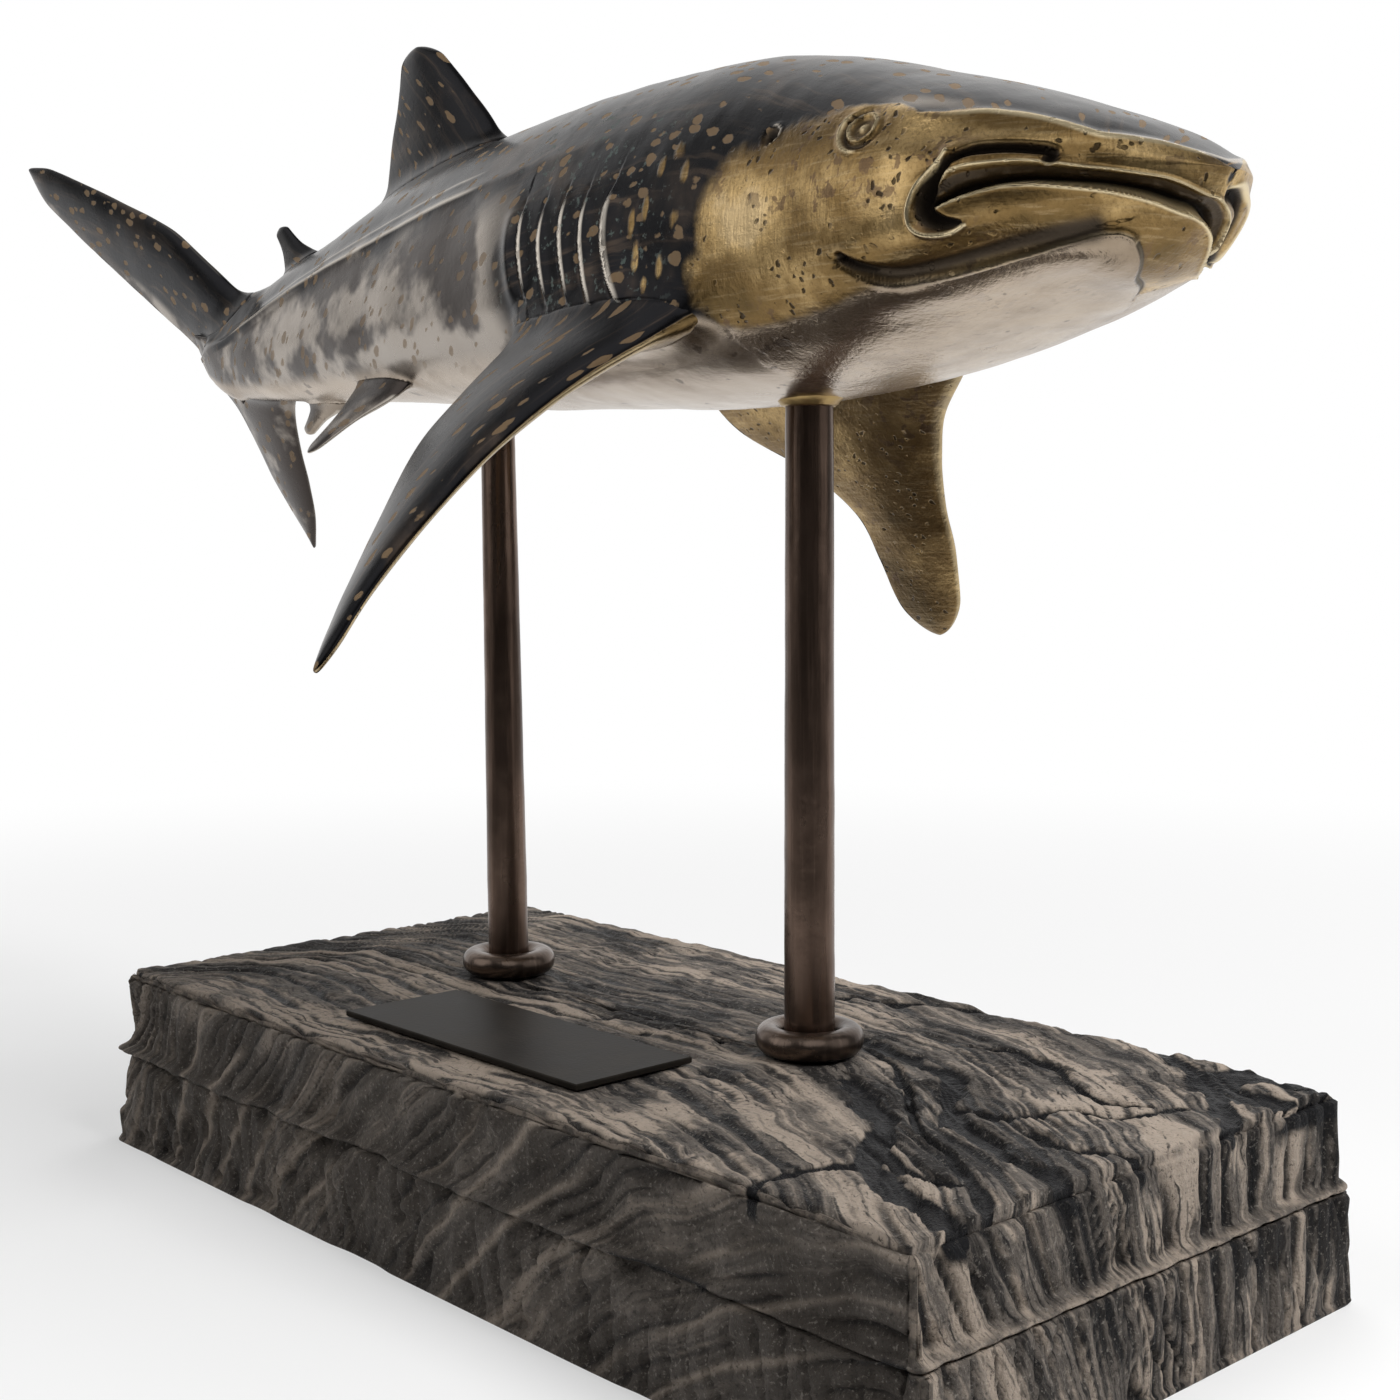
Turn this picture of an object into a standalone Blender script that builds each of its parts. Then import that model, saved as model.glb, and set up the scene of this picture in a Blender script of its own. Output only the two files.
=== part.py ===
"""Bronze whale shark on two rods over a stepped, carved stone base.

World frame: metres, +Z up, origin at the middle of the base's underside.
+X runs toward the shark's head, -Y toward the base's long face that carries the plate.
"""
import bpy
import bmesh
import numpy as np
from mathutils import Matrix, Vector

# Stone base
BASE_LENGTH = 0.254
BASE_WIDTH = 0.127
BASE_HEIGHT = 0.0407
STEP_HEIGHT = 0.0209          # height of the wider lower slab
STEP_INSET = 0.0022           # how far the upper slab stands back from the lower one
BASE_CORNER = 0.006           # corner radius seen from above
TOP_ROUND = 0.0032            # rounding of the top edge
FOOT_ROUND = 0.0009           # easing of the edge it stands on
BEAD_HEIGHT = 0.0016          # small bead along the step
CARVE_DEPTH = 0.0011          # depth of the ridges carved in the sides
TOP_RELIEF = 0.0006           # depth of the carving on top
CORNER_WEAR = 0.0060          # how far the corner between the plate and the head is worn away
CORNER_REACH = 0.0160         # length of edge that wear runs along

# Rods, rings and hidden fixings
ROD_Y = 0.0034
FRONT_ROD_X = 0.0410
REAR_ROD_X = -0.0570
FRONT_FOOT_DIA = 0.0102
FRONT_TOP_DIA = 0.0094
REAR_FOOT_DIA = 0.0095
REAR_TOP_DIA = 0.0079
REAR_LEAN = 0.0024            # how far the rear rod's top leans toward the tail
SOCKET_DEPTH = 0.010          # depth of the rod inside the belly
RING_DIA = 0.0214
RING_HEIGHT = 0.0056
STUD_DIA = 0.008
COUNTERBORE_DIA = 0.021
COUNTERBORE_DEPTH = 0.0125
WASHER_DIA = 0.0168
WASHER_THICK = 0.0016
NUT_FLATS = 0.013
NUT_HEIGHT = 0.0065
STUD_PAST_NUT = 0.0015
GAP = 0.0003                  # play between two pieces that meet

# Bare name plate
PLATE_LENGTH = 0.0775
PLATE_WIDTH = 0.0285
PLATE_THICK = 0.0013
PLATE_X = -0.0068
PLATE_FROM_EDGE = 0.0296      # plate's middle line to the base's long edge beside it

# Shark body
SNOUT_X = 0.1344
BODY_LENGTH = 0.3244          # snout to the end of the tail stalk
AXIS_Z = 0.192                # height of the widest line of the body
BODY_HALF_WIDTH = 0.0352
BODY_RISE = 0.0453            # back above the axis at its highest
BODY_DROP = 0.0254            # belly below the axis at its lowest
SNOUT_PLAN_LENGTH = 0.0428    # length of the rounded front seen from above
SNOUT_SIDE_LENGTH = 0.0168    # length of the rounded front seen from the side
SNOUT_RAKE = 0.48             # how far the front leans forward for each metre of height
HEAD_LIFT = 0.0070            # the widest line of the body climbs this much at the snout
BOSS_WALL = 0.0008            # brazed lip round each rod where it meets the belly
BOSS_DROP = 0.0010
MOUTH_WIDTH = 0.0020          # opening of the mouth slit
MOUTH_DEPTH = 0.0030
CREASE_WIDTH = 0.0016
CREASE_DEPTH = 0.0011
GILL_WIDTH = 0.0012
GILL_DEPTH = 0.0012
EYE_DIA = 0.0066

# Fins
PECTORAL_ROOT_X = 0.0220
PECTORAL_ROOT_Z = 0.1840
PECTORAL_ROOT_Y = 0.0305      # root line measured from the body's middle
PECTORAL_SPAN = 0.0830
PECTORAL_DROOP = 50.0         # degrees the fins hang below level
PECTORAL_CHORD = 0.0520
PECTORAL_THICK = 0.0076
DORSAL_HEIGHT = 0.0320
DORSAL_CHORD = 0.0500
DORSAL_X = -0.0760
DORSAL_THICK = 0.0074
SECOND_DORSAL_X = -0.1430
SECOND_DORSAL_HEIGHT = 0.0140
SECOND_DORSAL_CHORD = 0.0170
ANAL_X = -0.1320
ANAL_HEIGHT = 0.0110
ANAL_CHORD = 0.0150
PELVIC_X = -0.0860
PELVIC_ROOT_Y = 0.0130
PELVIC_ROOT_Z = 0.1790
PELVIC_SPAN = 0.0240
PELVIC_CHORD = 0.0230
TAIL_X = -0.1800
TAIL_UPPER_SPAN = 0.1100
TAIL_LOWER_SPAN = 0.0620
TAIL_SWEEP_UP = 50.0          # degrees each lobe leans back from upright
TAIL_SWEEP_LOW = 12.0
TAIL_ROLL_UP = 16.0           # degrees each lobe is turned to the side
TAIL_ROLL_LOW = 32.0
TAIL_CHORD = 0.1000
TAIL_THICK = 0.0060
SMALL_FIN_THICK = 0.0030

BODY_Y = ROD_Y
RINGS = 60                    # cross-sections along the body
BASE_STEPS = 148              # points round the stone's outline

# Each row: place along the body from snout to tail stalk, then half width, rise of the
# back and drop of the belly as shares of their largest values.
BODY_SHAPE = (
    (0.000, 0.720, 0.195, 0.400),
    (0.050, 0.965, 0.367, 0.345),
    (0.120, 1.030, 0.585, 0.570),
    (0.155, 1.035, 0.662, 0.695),
    (0.210, 1.010, 0.784, 0.834),
    (0.280, 0.995, 0.890, 0.933),
    (0.360, 0.965, 0.920, 0.954),
    (0.420, 0.920, 0.925, 0.915),
    (0.487, 0.850, 0.908, 0.873),
    (0.542, 0.775, 0.885, 0.845),
    (0.588, 0.705, 0.855, 0.790),
    (0.658, 0.600, 0.790, 0.710),
    (0.740, 0.500, 0.673, 0.640),
    (0.786, 0.440, 0.585, 0.610),
    (0.853, 0.350, 0.475, 0.560),
    (0.908, 0.280, 0.364, 0.500),
    (0.951, 0.200, 0.254, 0.420),
    (1.000, 0.100, 0.150, 0.260),
)
# Squareness of the cross-section along the body (2 is an ellipse, less is a diamond).
BODY_SQUARE = ((0.0, 2.3), (0.2, 2.35), (0.45, 2.1), (0.75, 1.85), (1.0, 1.7))
# Long ridge on each flank: its height as a share of the local rise, and how far it stands out.
RIDGE_LINE = ((0.20, 0.66), (0.40, 0.62), (0.54, 0.58), (0.69, 0.52), (0.82, 0.46),
              (0.914, 0.26), (1.0, 0.05))
RIDGE_OUT = ((0.20, 0.0), (0.34, 0.0001), (0.50, 0.0006), (0.70, 0.0011), (0.90, 0.0018), (1.0, 0.0014))

# Grooves cut in the skin of the shark's right side, then mirrored: share along the body and
# turn round the section (1 is the back, 2 the right side, 3 the belly).
MOUTH_LINE = (
    (0.1090, 2.180),
    (0.1120, 2.090),
    (0.1100, 2.020),
    (0.1020, 1.975),
    (0.0880, 1.945),
    (0.0700, 1.935),
    (0.0492, 1.970),
    (0.0360, 2.010),
    (0.0245, 2.060),
    (0.0130, 2.160),
    (0.0050, 2.450),
)
LIP_LINE = ((0.0985, 1.880), (0.0880, 1.835), (0.0760, 1.800), (0.0640, 1.785), (0.0520, 1.800))
JAW_LINE = (
    (0.1620, 2.190),
    (0.1540, 2.280),
    (0.1430, 2.350),
    (0.1200, 2.400),
    (0.0990, 2.440),
    (0.0740, 2.465),
    (0.0500, 2.455),
    (0.0300, 2.430),
)
GILL_TOPS = ((0.3460, 1.790), (0.3725, 1.785), (0.3965, 1.775), (0.4195, 1.780), (0.4440, 1.775))
GILL_FEET = ((0.3290, 2.150), (0.3570, 2.140), (0.3850, 2.090), (0.4095, 2.070), (0.4360, 2.030))
GILL_BACK = 0.0035            # how far each slit bows toward the tail, as a share of the length
EYE_PLACE = (0.1514, 1.710)

# Fin outlines: share of the span, then front edge and rear edge as shares of the chord.
NEAR_PECTORAL = (
    (-0.14, 0.62, -0.56),
    (0.00, 0.52, -0.60),
    (0.10, 0.28, -0.68),
    (0.20, 0.03, -0.77),
    (0.30, -0.15, -0.85),
    (0.40, -0.28, -0.87),
    (0.55, -0.41, -0.84),
    (0.75, -0.53, -0.78),
    (1.00, -0.56, -0.66),
)
FAR_PECTORAL = (
    (-0.14, 0.66, -0.80),
    (0.00, 0.62, -0.92),
    (0.12, 0.52, -0.96),
    (0.26, 0.29, -0.88),
    (0.40, 0.15, -0.62),
    (0.56, 0.04, -0.46),
    (0.72, -0.04, -0.46),
    (0.86, -0.13, -0.48),
    (1.00, -0.24, -0.46),
)
DORSAL = (
    (-0.25, 0.60, -0.60),
    (0.00, 0.50, -0.55),
    (0.14, 0.42, -0.53),
    (0.36, 0.30, -0.50),
    (0.60, 0.14, -0.45),
    (0.83, -0.02, -0.42),
    (1.00, -0.15, -0.40),
)
SECOND_DORSAL = ((-0.30, 0.55, -0.55), (0.0, 0.50, -0.55), (0.5, 0.05, -0.50), (1.0, -0.30, -0.62))
PELVIC = ((-0.30, 0.55, -0.50), (0.0, 0.50, -0.50), (0.5, 0.05, -0.42), (1.0, -0.30, -0.48))
UPPER_LOBE = (
    (-0.06, 0.250, -0.100),
    (0.00, 0.225, -0.110),
    (0.15, 0.210, -0.078),
    (0.31, 0.200, -0.089),
    (0.55, 0.125, -0.110),
    (0.78, 0.042, -0.125),
    (0.93, -0.018, -0.125),
    (1.00, -0.050, -0.105),
)
LOWER_LOBE = (
    (-0.10, 0.300, -0.150),
    (0.00, 0.260, -0.160),
    (0.14, 0.220, -0.135),
    (0.23, 0.190, -0.097),
    (0.43, 0.145, -0.070),
    (0.62, 0.115, -0.060),
    (0.79, 0.080, -0.037),
    (0.92, 0.038, -0.015),
    (1.00, 0.015, -0.008),
)


def smooth(table, column, at):
    """Smooth cubic through the rows of a small table, read at one place or an array of places."""
    rows = np.array(table, dtype=float)
    x = rows[:, 0]
    y = rows[:, column]
    slope = np.gradient(y, x)
    at = np.clip(np.asarray(at, dtype=float), x[0], x[-1])
    i = np.clip(np.searchsorted(x, at) - 1, 0, len(x) - 2)
    h = x[i + 1] - x[i]
    t = (at - x[i]) / h
    a = (1 + 2 * t) * (1 - t) ** 2 * y[i] + t * (1 - t) ** 2 * h * slope[i]
    b = t * t * (3 - 2 * t) * y[i + 1] + t * t * (t - 1) * h * slope[i + 1]
    return a + b


def body_measures(f):
    """Half width, rise above the axis and drop below it at share f of the body's length."""
    f = np.asarray(f, dtype=float)
    plan = np.clip(1 - f * BODY_LENGTH / SNOUT_PLAN_LENGTH, 0, 1)
    side = np.clip(1 - f * BODY_LENGTH / SNOUT_SIDE_LENGTH, 0, 1)
    end = np.clip((f - 0.97) / 0.03, 0, 1)
    wide = smooth(BODY_SHAPE, 1, f) * BODY_HALF_WIDTH * np.sqrt(1 - plan ** 2) * np.sqrt(1 - 0.96 * end ** 2)
    round_side = np.sqrt(1 - 0.97 * side ** 2) * np.sqrt(1 - 0.96 * end ** 2)
    rise = smooth(BODY_SHAPE, 2, f) * BODY_RISE
    drop = smooth(BODY_SHAPE, 3, f) * BODY_DROP
    lift = HEAD_LIFT * np.clip(1 - f * BODY_LENGTH / (2 * SNOUT_PLAN_LENGTH), 0, 1)
    return wide, (rise - lift) * round_side, (drop + lift) * round_side, AXIS_Z + lift


def body_points(f, turn, ridge=True):
    """Points on the skin. f runs along the body; turn runs 0 to 4, a quarter of the way round for each 1."""
    f, turn = np.broadcast_arrays(np.asarray(f, dtype=float), np.asarray(turn, dtype=float))
    wide, rise, drop, axis = body_measures(f)
    square = smooth(BODY_SQUARE, 1, f)
    share = smooth(RIDGE_LINE, 1, f)
    at_ridge = np.arcsin(np.clip(share, 0.02, 0.98) ** (square / 2))
    quarter = np.floor(turn).astype(int) % 4
    part = turn - np.floor(turn)
    up = quarter < 2
    climb = np.where(quarter % 2 == 0, part, 1 - part)
    low = at_ridge * climb / 0.4
    high = at_ridge + (np.pi / 2 - at_ridge) * (climb - 0.4) / 0.6
    angle = np.where(up, np.where(climb < 0.4, low, high), climb * np.pi / 2)
    c = np.clip(np.cos(angle), 0, 1) ** (2 / square)
    s = np.clip(np.sin(angle), 0, 1) ** (2 / square)
    crest = np.exp(-(np.abs(climb - 0.4) / 0.05) ** 1.2) * up
    out = smooth(RIDGE_OUT, 1, f) * crest if ridge else 0 * f
    side = np.where((quarter == 0) | (quarter == 3), 1.0, -1.0)
    y = BODY_Y + side * (wide * c + out * 0.9)
    z = axis + np.where(up, rise * s, -drop * s) + out * 0.35
    front = np.clip(1 - f * BODY_LENGTH / SNOUT_PLAN_LENGTH, 0, 1)
    x = SNOUT_X - f * BODY_LENGTH + SNOUT_RAKE * (z - axis) * front ** 2
    return np.stack([x, y, z], -1)


def share_at(x):
    return (SNOUT_X - x) / BODY_LENGTH


def belly_z(x):
    wide, rise, drop, axis = body_measures(share_at(x))
    return float(axis - drop)


def back_z(x):
    wide, rise, drop, axis = body_measures(share_at(x))
    return float(axis + rise)


def clear_scene():
    for block in list(bpy.data.objects):
        bpy.data.objects.remove(block, do_unlink=True)
    for block in list(bpy.data.meshes):
        bpy.data.meshes.remove(block)
    for block in list(bpy.data.materials):
        bpy.data.materials.remove(block)


def material(name, colour, metallic, roughness):
    made = bpy.data.materials.new(name)
    made.use_nodes = True
    shader = made.node_tree.nodes["Principled BSDF"]
    shader.inputs["Base Color"].default_value = (*colour, 1.0)
    shader.inputs["Metallic"].default_value = metallic
    shader.inputs["Roughness"].default_value = roughness
    return made


def object_from(name, points, faces, paint=None, angle=40):
    mesh = bpy.data.meshes.new(name)
    mesh.from_pydata([tuple(float(v) for v in p) for p in points], [], faces)
    mesh.validate()
    made = bpy.data.objects.new(name, mesh)
    bpy.context.scene.collection.objects.link(made)
    work = bmesh.new()
    work.from_mesh(mesh)
    bmesh.ops.remove_doubles(work, verts=work.verts, dist=0.00001)
    bmesh.ops.recalc_face_normals(work, faces=work.faces)
    work.to_mesh(mesh)
    work.free()
    if paint is not None:
        mesh.materials.append(paint)
    finish(made, angle)
    return made


def finish(made, angle):
    mesh = made.data
    mesh.shade_smooth()
    mesh.set_sharp_from_angle(angle=np.radians(angle))


def tube_faces(rows, around):
    """Quads of a closed tube of rows by around points, with a flat fan at each end."""
    faces = []
    for r in range(rows - 1):
        for k in range(around):
            n = (k + 1) % around
            faces.append((r * around + k, r * around + n, (r + 1) * around + n, (r + 1) * around + k))
    first = rows * around
    last = first + 1
    for k in range(around):
        n = (k + 1) % around
        faces.append((first, n, k))
        faces.append((last, (rows - 1) * around + k, (rows - 1) * around + n))
    return faces


def capped(rows):
    """Point list of a tube given as an array rows x around x 3, with its two end centres added."""
    flat = rows.reshape(-1, 3)
    return np.concatenate([flat, rows[0].mean(0)[None], rows[-1].mean(0)[None]])


def combine(target, other, operation):
    """Apply one exact Boolean and remove the helper."""
    other.hide_render = True
    other.display_type = "WIRE"
    step = target.modifiers.new("shape", "BOOLEAN")
    step.operation = operation
    step.solver = "EXACT"
    step.object = other
    graph = bpy.context.evaluated_depsgraph_get()
    result = bpy.data.meshes.new_from_object(target.evaluated_get(graph))
    target.modifiers.clear()
    work = bmesh.new()
    work.from_mesh(result)
    bmesh.ops.remove_doubles(work, verts=work.verts, dist=0.000005)
    bmesh.ops.dissolve_degenerate(work, edges=work.edges, dist=0.000002)
    work.to_mesh(result)
    work.free()
    old = target.data
    target.data = result
    bpy.data.meshes.remove(old)
    bpy.data.objects.remove(other, do_unlink=True)


def lathe(name, profile, y, sides=32, paint=None):
    """Solid turned about an upright axis. profile rows are radius, height, x of the axis."""
    turn = np.arange(sides) * 2 * np.pi / sides
    rows = []
    for radius, height, x in profile:
        rows.append(np.stack([x + radius * np.cos(turn), y + radius * np.sin(turn),
                              np.full(sides, height)], -1))
    return object_from(name, capped(np.array(rows)), tube_faces(len(profile), sides), paint, 35)


def hoop(name, loop, x, y, sides, paint, flats=0.0):
    """Ring with a hole: the closed loop of (radius, height) points is carried round the axis.

    With flats given, points at a radius past half of it follow a hexagon of that width.
    """
    turn = np.arange(sides) * 2 * np.pi / sides
    count = len(loop)
    points = []
    faces = []
    for k in range(sides):
        n = (k + 1) % sides
        for i, (radius, height) in enumerate(loop):
            j = (i + 1) % count
            if flats > 0 and radius >= flats / 2:
                radius = flats / 2 / np.cos((turn[k] + np.pi / 6) % (np.pi / 3) - np.pi / 6)
            points.append((x + radius * np.cos(turn[k]), y + radius * np.sin(turn[k]), height))
            faces.append((k * count + i, k * count + j, n * count + j, n * count + i))
    return object_from(name, points, faces, paint, 35)


def fin(name, table, root, span, chord, thick, tilt_tip=0.0, rows=12, half=6):
    """Closed blade. Sections run along the span; each is a lens from the front to the rear edge.

    root is the point chord shares are measured from, span the arrow from root to tip, chord the
    length for the outline shares. tilt_tip turns the chord line up toward the front edge at the tip.
    """
    s = table[0][0] + (1.0 - table[0][0]) * np.sin(np.linspace(0, np.pi / 2, rows))
    s[-1] = 0.9995
    front = smooth(table, 1, s) * chord
    rear = smooth(table, 2, s) * chord
    tip = np.sqrt(np.clip(1 - (np.clip(s - 0.88, 0, 1) / 0.12) ** 2, 0.0, 1))
    middle = (front + rear) / 2
    front = middle + (front - middle) * tip
    rear = middle + (rear - middle) * tip
    span = np.array(span)
    along = span / np.linalg.norm(span)
    grow = np.clip(s, 0, 1)
    tilt = tilt_tip * grow
    direction = np.stack([np.ones(rows), np.zeros(rows), tilt], -1)
    direction = direction - (direction @ along)[:, None] * along
    direction = direction / np.linalg.norm(direction, axis=1)[:, None]
    across = np.cross(direction, along)
    depth = thick * (1 - 0.72 * grow ** 0.8) * np.sqrt(np.clip(tip, 0.05, 1))
    u = np.linspace(0, 1, half + 1)
    u = np.concatenate([u, u[-2:0:-1]])
    face = np.concatenate([np.ones(half + 1), -np.ones(half - 1)])
    lens = np.sin(np.pi * u ** 0.72) ** 0.8
    lens[0] = 0
    lens[half] = 0
    place = front[:, None] + (rear - front)[:, None] * u[None, :]
    proud = 0.5 * depth[:, None] * (lens * face)[None, :]
    points = np.array(root)[None, None, :] + span[None, None, :] * s[:, None, None]
    points = points + direction[:, None, :] * place[:, :, None] + across[:, None, :] * proud[:, :, None]
    return object_from(name, capped(points), tube_faces(rows, len(u)))


def body_mesh(name):
    u = np.linspace(0, 1, RINGS)
    f = 0.0012 + 0.9985 * u ** 1.35
    f[-1] = 0.9995
    columns = np.array([0, 0.2, 0.4, 0.52, 0.68, 0.84, 1.0])
    right = np.concatenate([columns, 2 - columns[-2::-1]])
    lower = 2 + np.linspace(0, 2, 15)[1:-1]
    turn = np.concatenate([right, lower])
    points = body_points(f[:, None], turn[None, :])
    return object_from(name, capped(points), tube_faces(len(f), len(turn)))


def all_fins():
    droop = np.radians(PECTORAL_DROOP)
    out = PECTORAL_SPAN * np.cos(droop)
    down = -PECTORAL_SPAN * np.sin(droop)
    near = fin("near_pectoral", NEAR_PECTORAL, (PECTORAL_ROOT_X, BODY_Y - PECTORAL_ROOT_Y, PECTORAL_ROOT_Z),
               (0, -out, down), PECTORAL_CHORD, PECTORAL_THICK, 0.25, 13)
    far = fin("far_pectoral", FAR_PECTORAL, (PECTORAL_ROOT_X, BODY_Y + PECTORAL_ROOT_Y, PECTORAL_ROOT_Z),
              (0, out, down), PECTORAL_CHORD, PECTORAL_THICK, 0.2, 13)
    foot = back_z(DORSAL_X) - 0.001
    dorsal = fin("dorsal", DORSAL, (DORSAL_X, BODY_Y, foot), (0, 0, DORSAL_HEIGHT), DORSAL_CHORD,
                 DORSAL_THICK, rows=10)
    foot = back_z(SECOND_DORSAL_X) - 0.001
    second = fin("second_dorsal", SECOND_DORSAL, (SECOND_DORSAL_X, BODY_Y, foot),
                 (-0.004, 0, SECOND_DORSAL_HEIGHT), SECOND_DORSAL_CHORD, SMALL_FIN_THICK, rows=6, half=4)
    foot = belly_z(ANAL_X) + 0.001
    anal = fin("anal", SECOND_DORSAL, (ANAL_X, BODY_Y, foot),
               (-0.004, 0, -ANAL_HEIGHT), ANAL_CHORD, SMALL_FIN_THICK, rows=6, half=4)
    pelvic = []
    for side in (-1, 1):
        pelvic.append(fin("pelvic", PELVIC, (PELVIC_X, BODY_Y + side * PELVIC_ROOT_Y, PELVIC_ROOT_Z),
                          (-0.3 * PELVIC_SPAN, side * 0.55 * PELVIC_SPAN, -0.78 * PELVIC_SPAN),
                          PELVIC_CHORD, SMALL_FIN_THICK, rows=7, half=4))
    root = (TAIL_X, BODY_Y, AXIS_Z - 0.001)
    roll = np.radians(TAIL_ROLL_UP)
    sweep = np.radians(TAIL_SWEEP_UP)
    up = TAIL_UPPER_SPAN
    reach = up * np.cos(sweep)
    upper = fin("upper_lobe", UPPER_LOBE, root,
                (-up * np.sin(sweep), -reach * np.sin(roll), reach * np.cos(roll)),
                TAIL_CHORD, TAIL_THICK, rows=13)
    roll = np.radians(TAIL_ROLL_LOW)
    sweep = np.radians(TAIL_SWEEP_LOW)
    low = TAIL_LOWER_SPAN
    reach = low * np.cos(sweep)
    lower = fin("lower_lobe", LOWER_LOBE, root,
                (-low * np.sin(sweep), reach * np.sin(roll), -reach * np.cos(roll)),
                TAIL_CHORD, TAIL_THICK, rows=11)
    return [near, far, dorsal, second, anal, *pelvic, upper, lower]


def skin_path(table):
    """The table's rows as points on the skin, in order."""
    return np.array([body_points(f, turn, ridge=False) for f, turn in table])


def mirrored(points):
    flipped = points.copy()
    flipped[:, 1] = 2 * BODY_Y - flipped[:, 1]
    return flipped


def groove(path, width, depth, reach=0.002):
    """Wedge that follows a line on the skin: wide outside, narrow at the given depth."""
    core = np.stack([np.minimum(path[:, 0], SNOUT_X - 1.15 * SNOUT_PLAN_LENGTH),
                     np.full(len(path), BODY_Y), np.full(len(path), AXIS_Z + 0.5 * HEAD_LIFT)], -1)
    outward = path - core
    outward = outward / np.linalg.norm(outward, axis=1)[:, None]
    along = np.gradient(path, axis=0)
    across = np.cross(along, outward)
    across = across / np.linalg.norm(across, axis=1)[:, None]
    ends = np.ones(len(path))
    ends[0] = 0.35
    ends[-1] = 0.35
    half = (0.5 * width * ends)[:, None]
    deep = (depth * (0.4 + 0.6 * (ends > 0.9)))[:, None]
    mouth = path + outward * reach
    floor = path - outward * deep
    rows = np.stack([mouth + across * half * 1.6, mouth - across * half * 1.6,
                     floor - across * half * 0.45, floor + across * half * 0.45], 1)
    return object_from("groove", capped(rows), tube_faces(len(path), 4))


def gill_path(top, foot):
    s = np.linspace(0, 1, 7)
    f = top[0] + (foot[0] - top[0]) * s ** 1.6 + GILL_BACK * np.sin(np.pi * s) * (1 - s)
    turn = top[1] + (foot[1] - top[1]) * s
    return np.array([body_points(a, b, ridge=False) for a, b in zip(f, turn)])


def grooves():
    right = skin_path(MOUTH_LINE)
    front = body_points(0.0045, 3.0, ridge=False)
    whole = np.concatenate([right, front[None], mirrored(right)[::-1]])
    made = [groove(whole, MOUTH_WIDTH, MOUTH_DEPTH)]
    lip = skin_path(LIP_LINE)
    jaw = skin_path(JAW_LINE)
    for line, width, depth in ((lip, CREASE_WIDTH, 1.4 * CREASE_DEPTH), (jaw, CREASE_WIDTH, CREASE_DEPTH)):
        made.append(groove(line, width, depth))
        made.append(groove(mirrored(line), width, depth))
    for top, foot in zip(GILL_TOPS, GILL_FEET):
        line = gill_path(top, foot)
        made.append(groove(line, GILL_WIDTH, GILL_DEPTH))
        made.append(groove(mirrored(line), GILL_WIDTH, GILL_DEPTH))
    return made


def eyes():
    made = []
    place = body_points(*EYE_PLACE, ridge=False)
    for spot in (place, mirrored(place[None])[0]):
        work = bmesh.new()
        bmesh.ops.create_icosphere(work, subdivisions=2, radius=EYE_DIA / 2)
        inward = Vector((0, BODY_Y - spot[1], AXIS_Z - spot[2])).normalized() * EYE_DIA * 0.24
        bmesh.ops.translate(work, verts=work.verts, vec=Vector(spot) + inward)
        mesh = bpy.data.meshes.new("eye")
        work.to_mesh(mesh)
        work.free()
        ball = bpy.data.objects.new("eye", mesh)
        bpy.context.scene.collection.objects.link(ball)
        made.append(ball)
    return made


def rod_facts(front):
    """Where a rod stands and ends: foot x, top x, foot radius, top radius, belly height, top height."""
    foot_x = FRONT_ROD_X if front else REAR_ROD_X
    lean = 0.0 if front else REAR_LEAN
    foot_r = (FRONT_FOOT_DIA if front else REAR_FOOT_DIA) / 2
    top_r = (FRONT_TOP_DIA if front else REAR_TOP_DIA) / 2
    belly = belly_z(foot_x - lean)
    return foot_x, foot_x - lean, foot_r, top_r, belly, belly + SOCKET_DEPTH


def shark(paint):
    made = body_mesh("shark_body")
    for piece in all_fins() + eyes():
        combine(made, piece, "UNION")
    for front in (True, False):
        foot_x, top_x, foot_r, top_r, belly, top = rod_facts(front)
        lip = top_r + GAP + BOSS_WALL
        low = belly - BOSS_DROP
        combine(made, lathe("boss", ((lip, low, top_x), (lip + 0.0005, belly, top_x),
                                     (lip + 0.0012, belly + 0.004, top_x)), ROD_Y), "UNION")
        hole = top_r + GAP
        combine(made, lathe("socket", ((hole, low - 0.004, top_x), (hole, top + GAP, top_x)), ROD_Y),
                "DIFFERENCE")
    for piece in grooves():
        combine(made, piece, "DIFFERENCE")
    made.data.materials.clear()
    made.data.materials.append(paint)
    finish(made, 40)
    return made


def rod(name, front, paint):
    foot_x, top_x, foot_r, top_r, belly, top = rod_facts(front)
    stud = STUD_DIA / 2
    stud_end = COUNTERBORE_DEPTH - 2 * GAP - WASHER_THICK - NUT_HEIGHT - STUD_PAST_NUT
    foot = BASE_HEIGHT + GAP
    neck = belly - BOSS_DROP
    rows = [(stud - 0.0006, stud_end, foot_x), (stud, stud_end + 0.0006, foot_x), (stud, foot, foot_x),
            (foot_r, foot, foot_x), (foot_r, foot + RING_HEIGHT, foot_x)]
    for share in (0.5, 1.0):
        height = foot + RING_HEIGHT + (neck - foot - RING_HEIGHT) * share
        rows.append((foot_r + (top_r - foot_r) * share, height, foot_x + (top_x - foot_x) * share))
    rows.append((top_r, top, top_x))
    return lathe(name, rows, ROD_Y, 32, paint)


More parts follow.
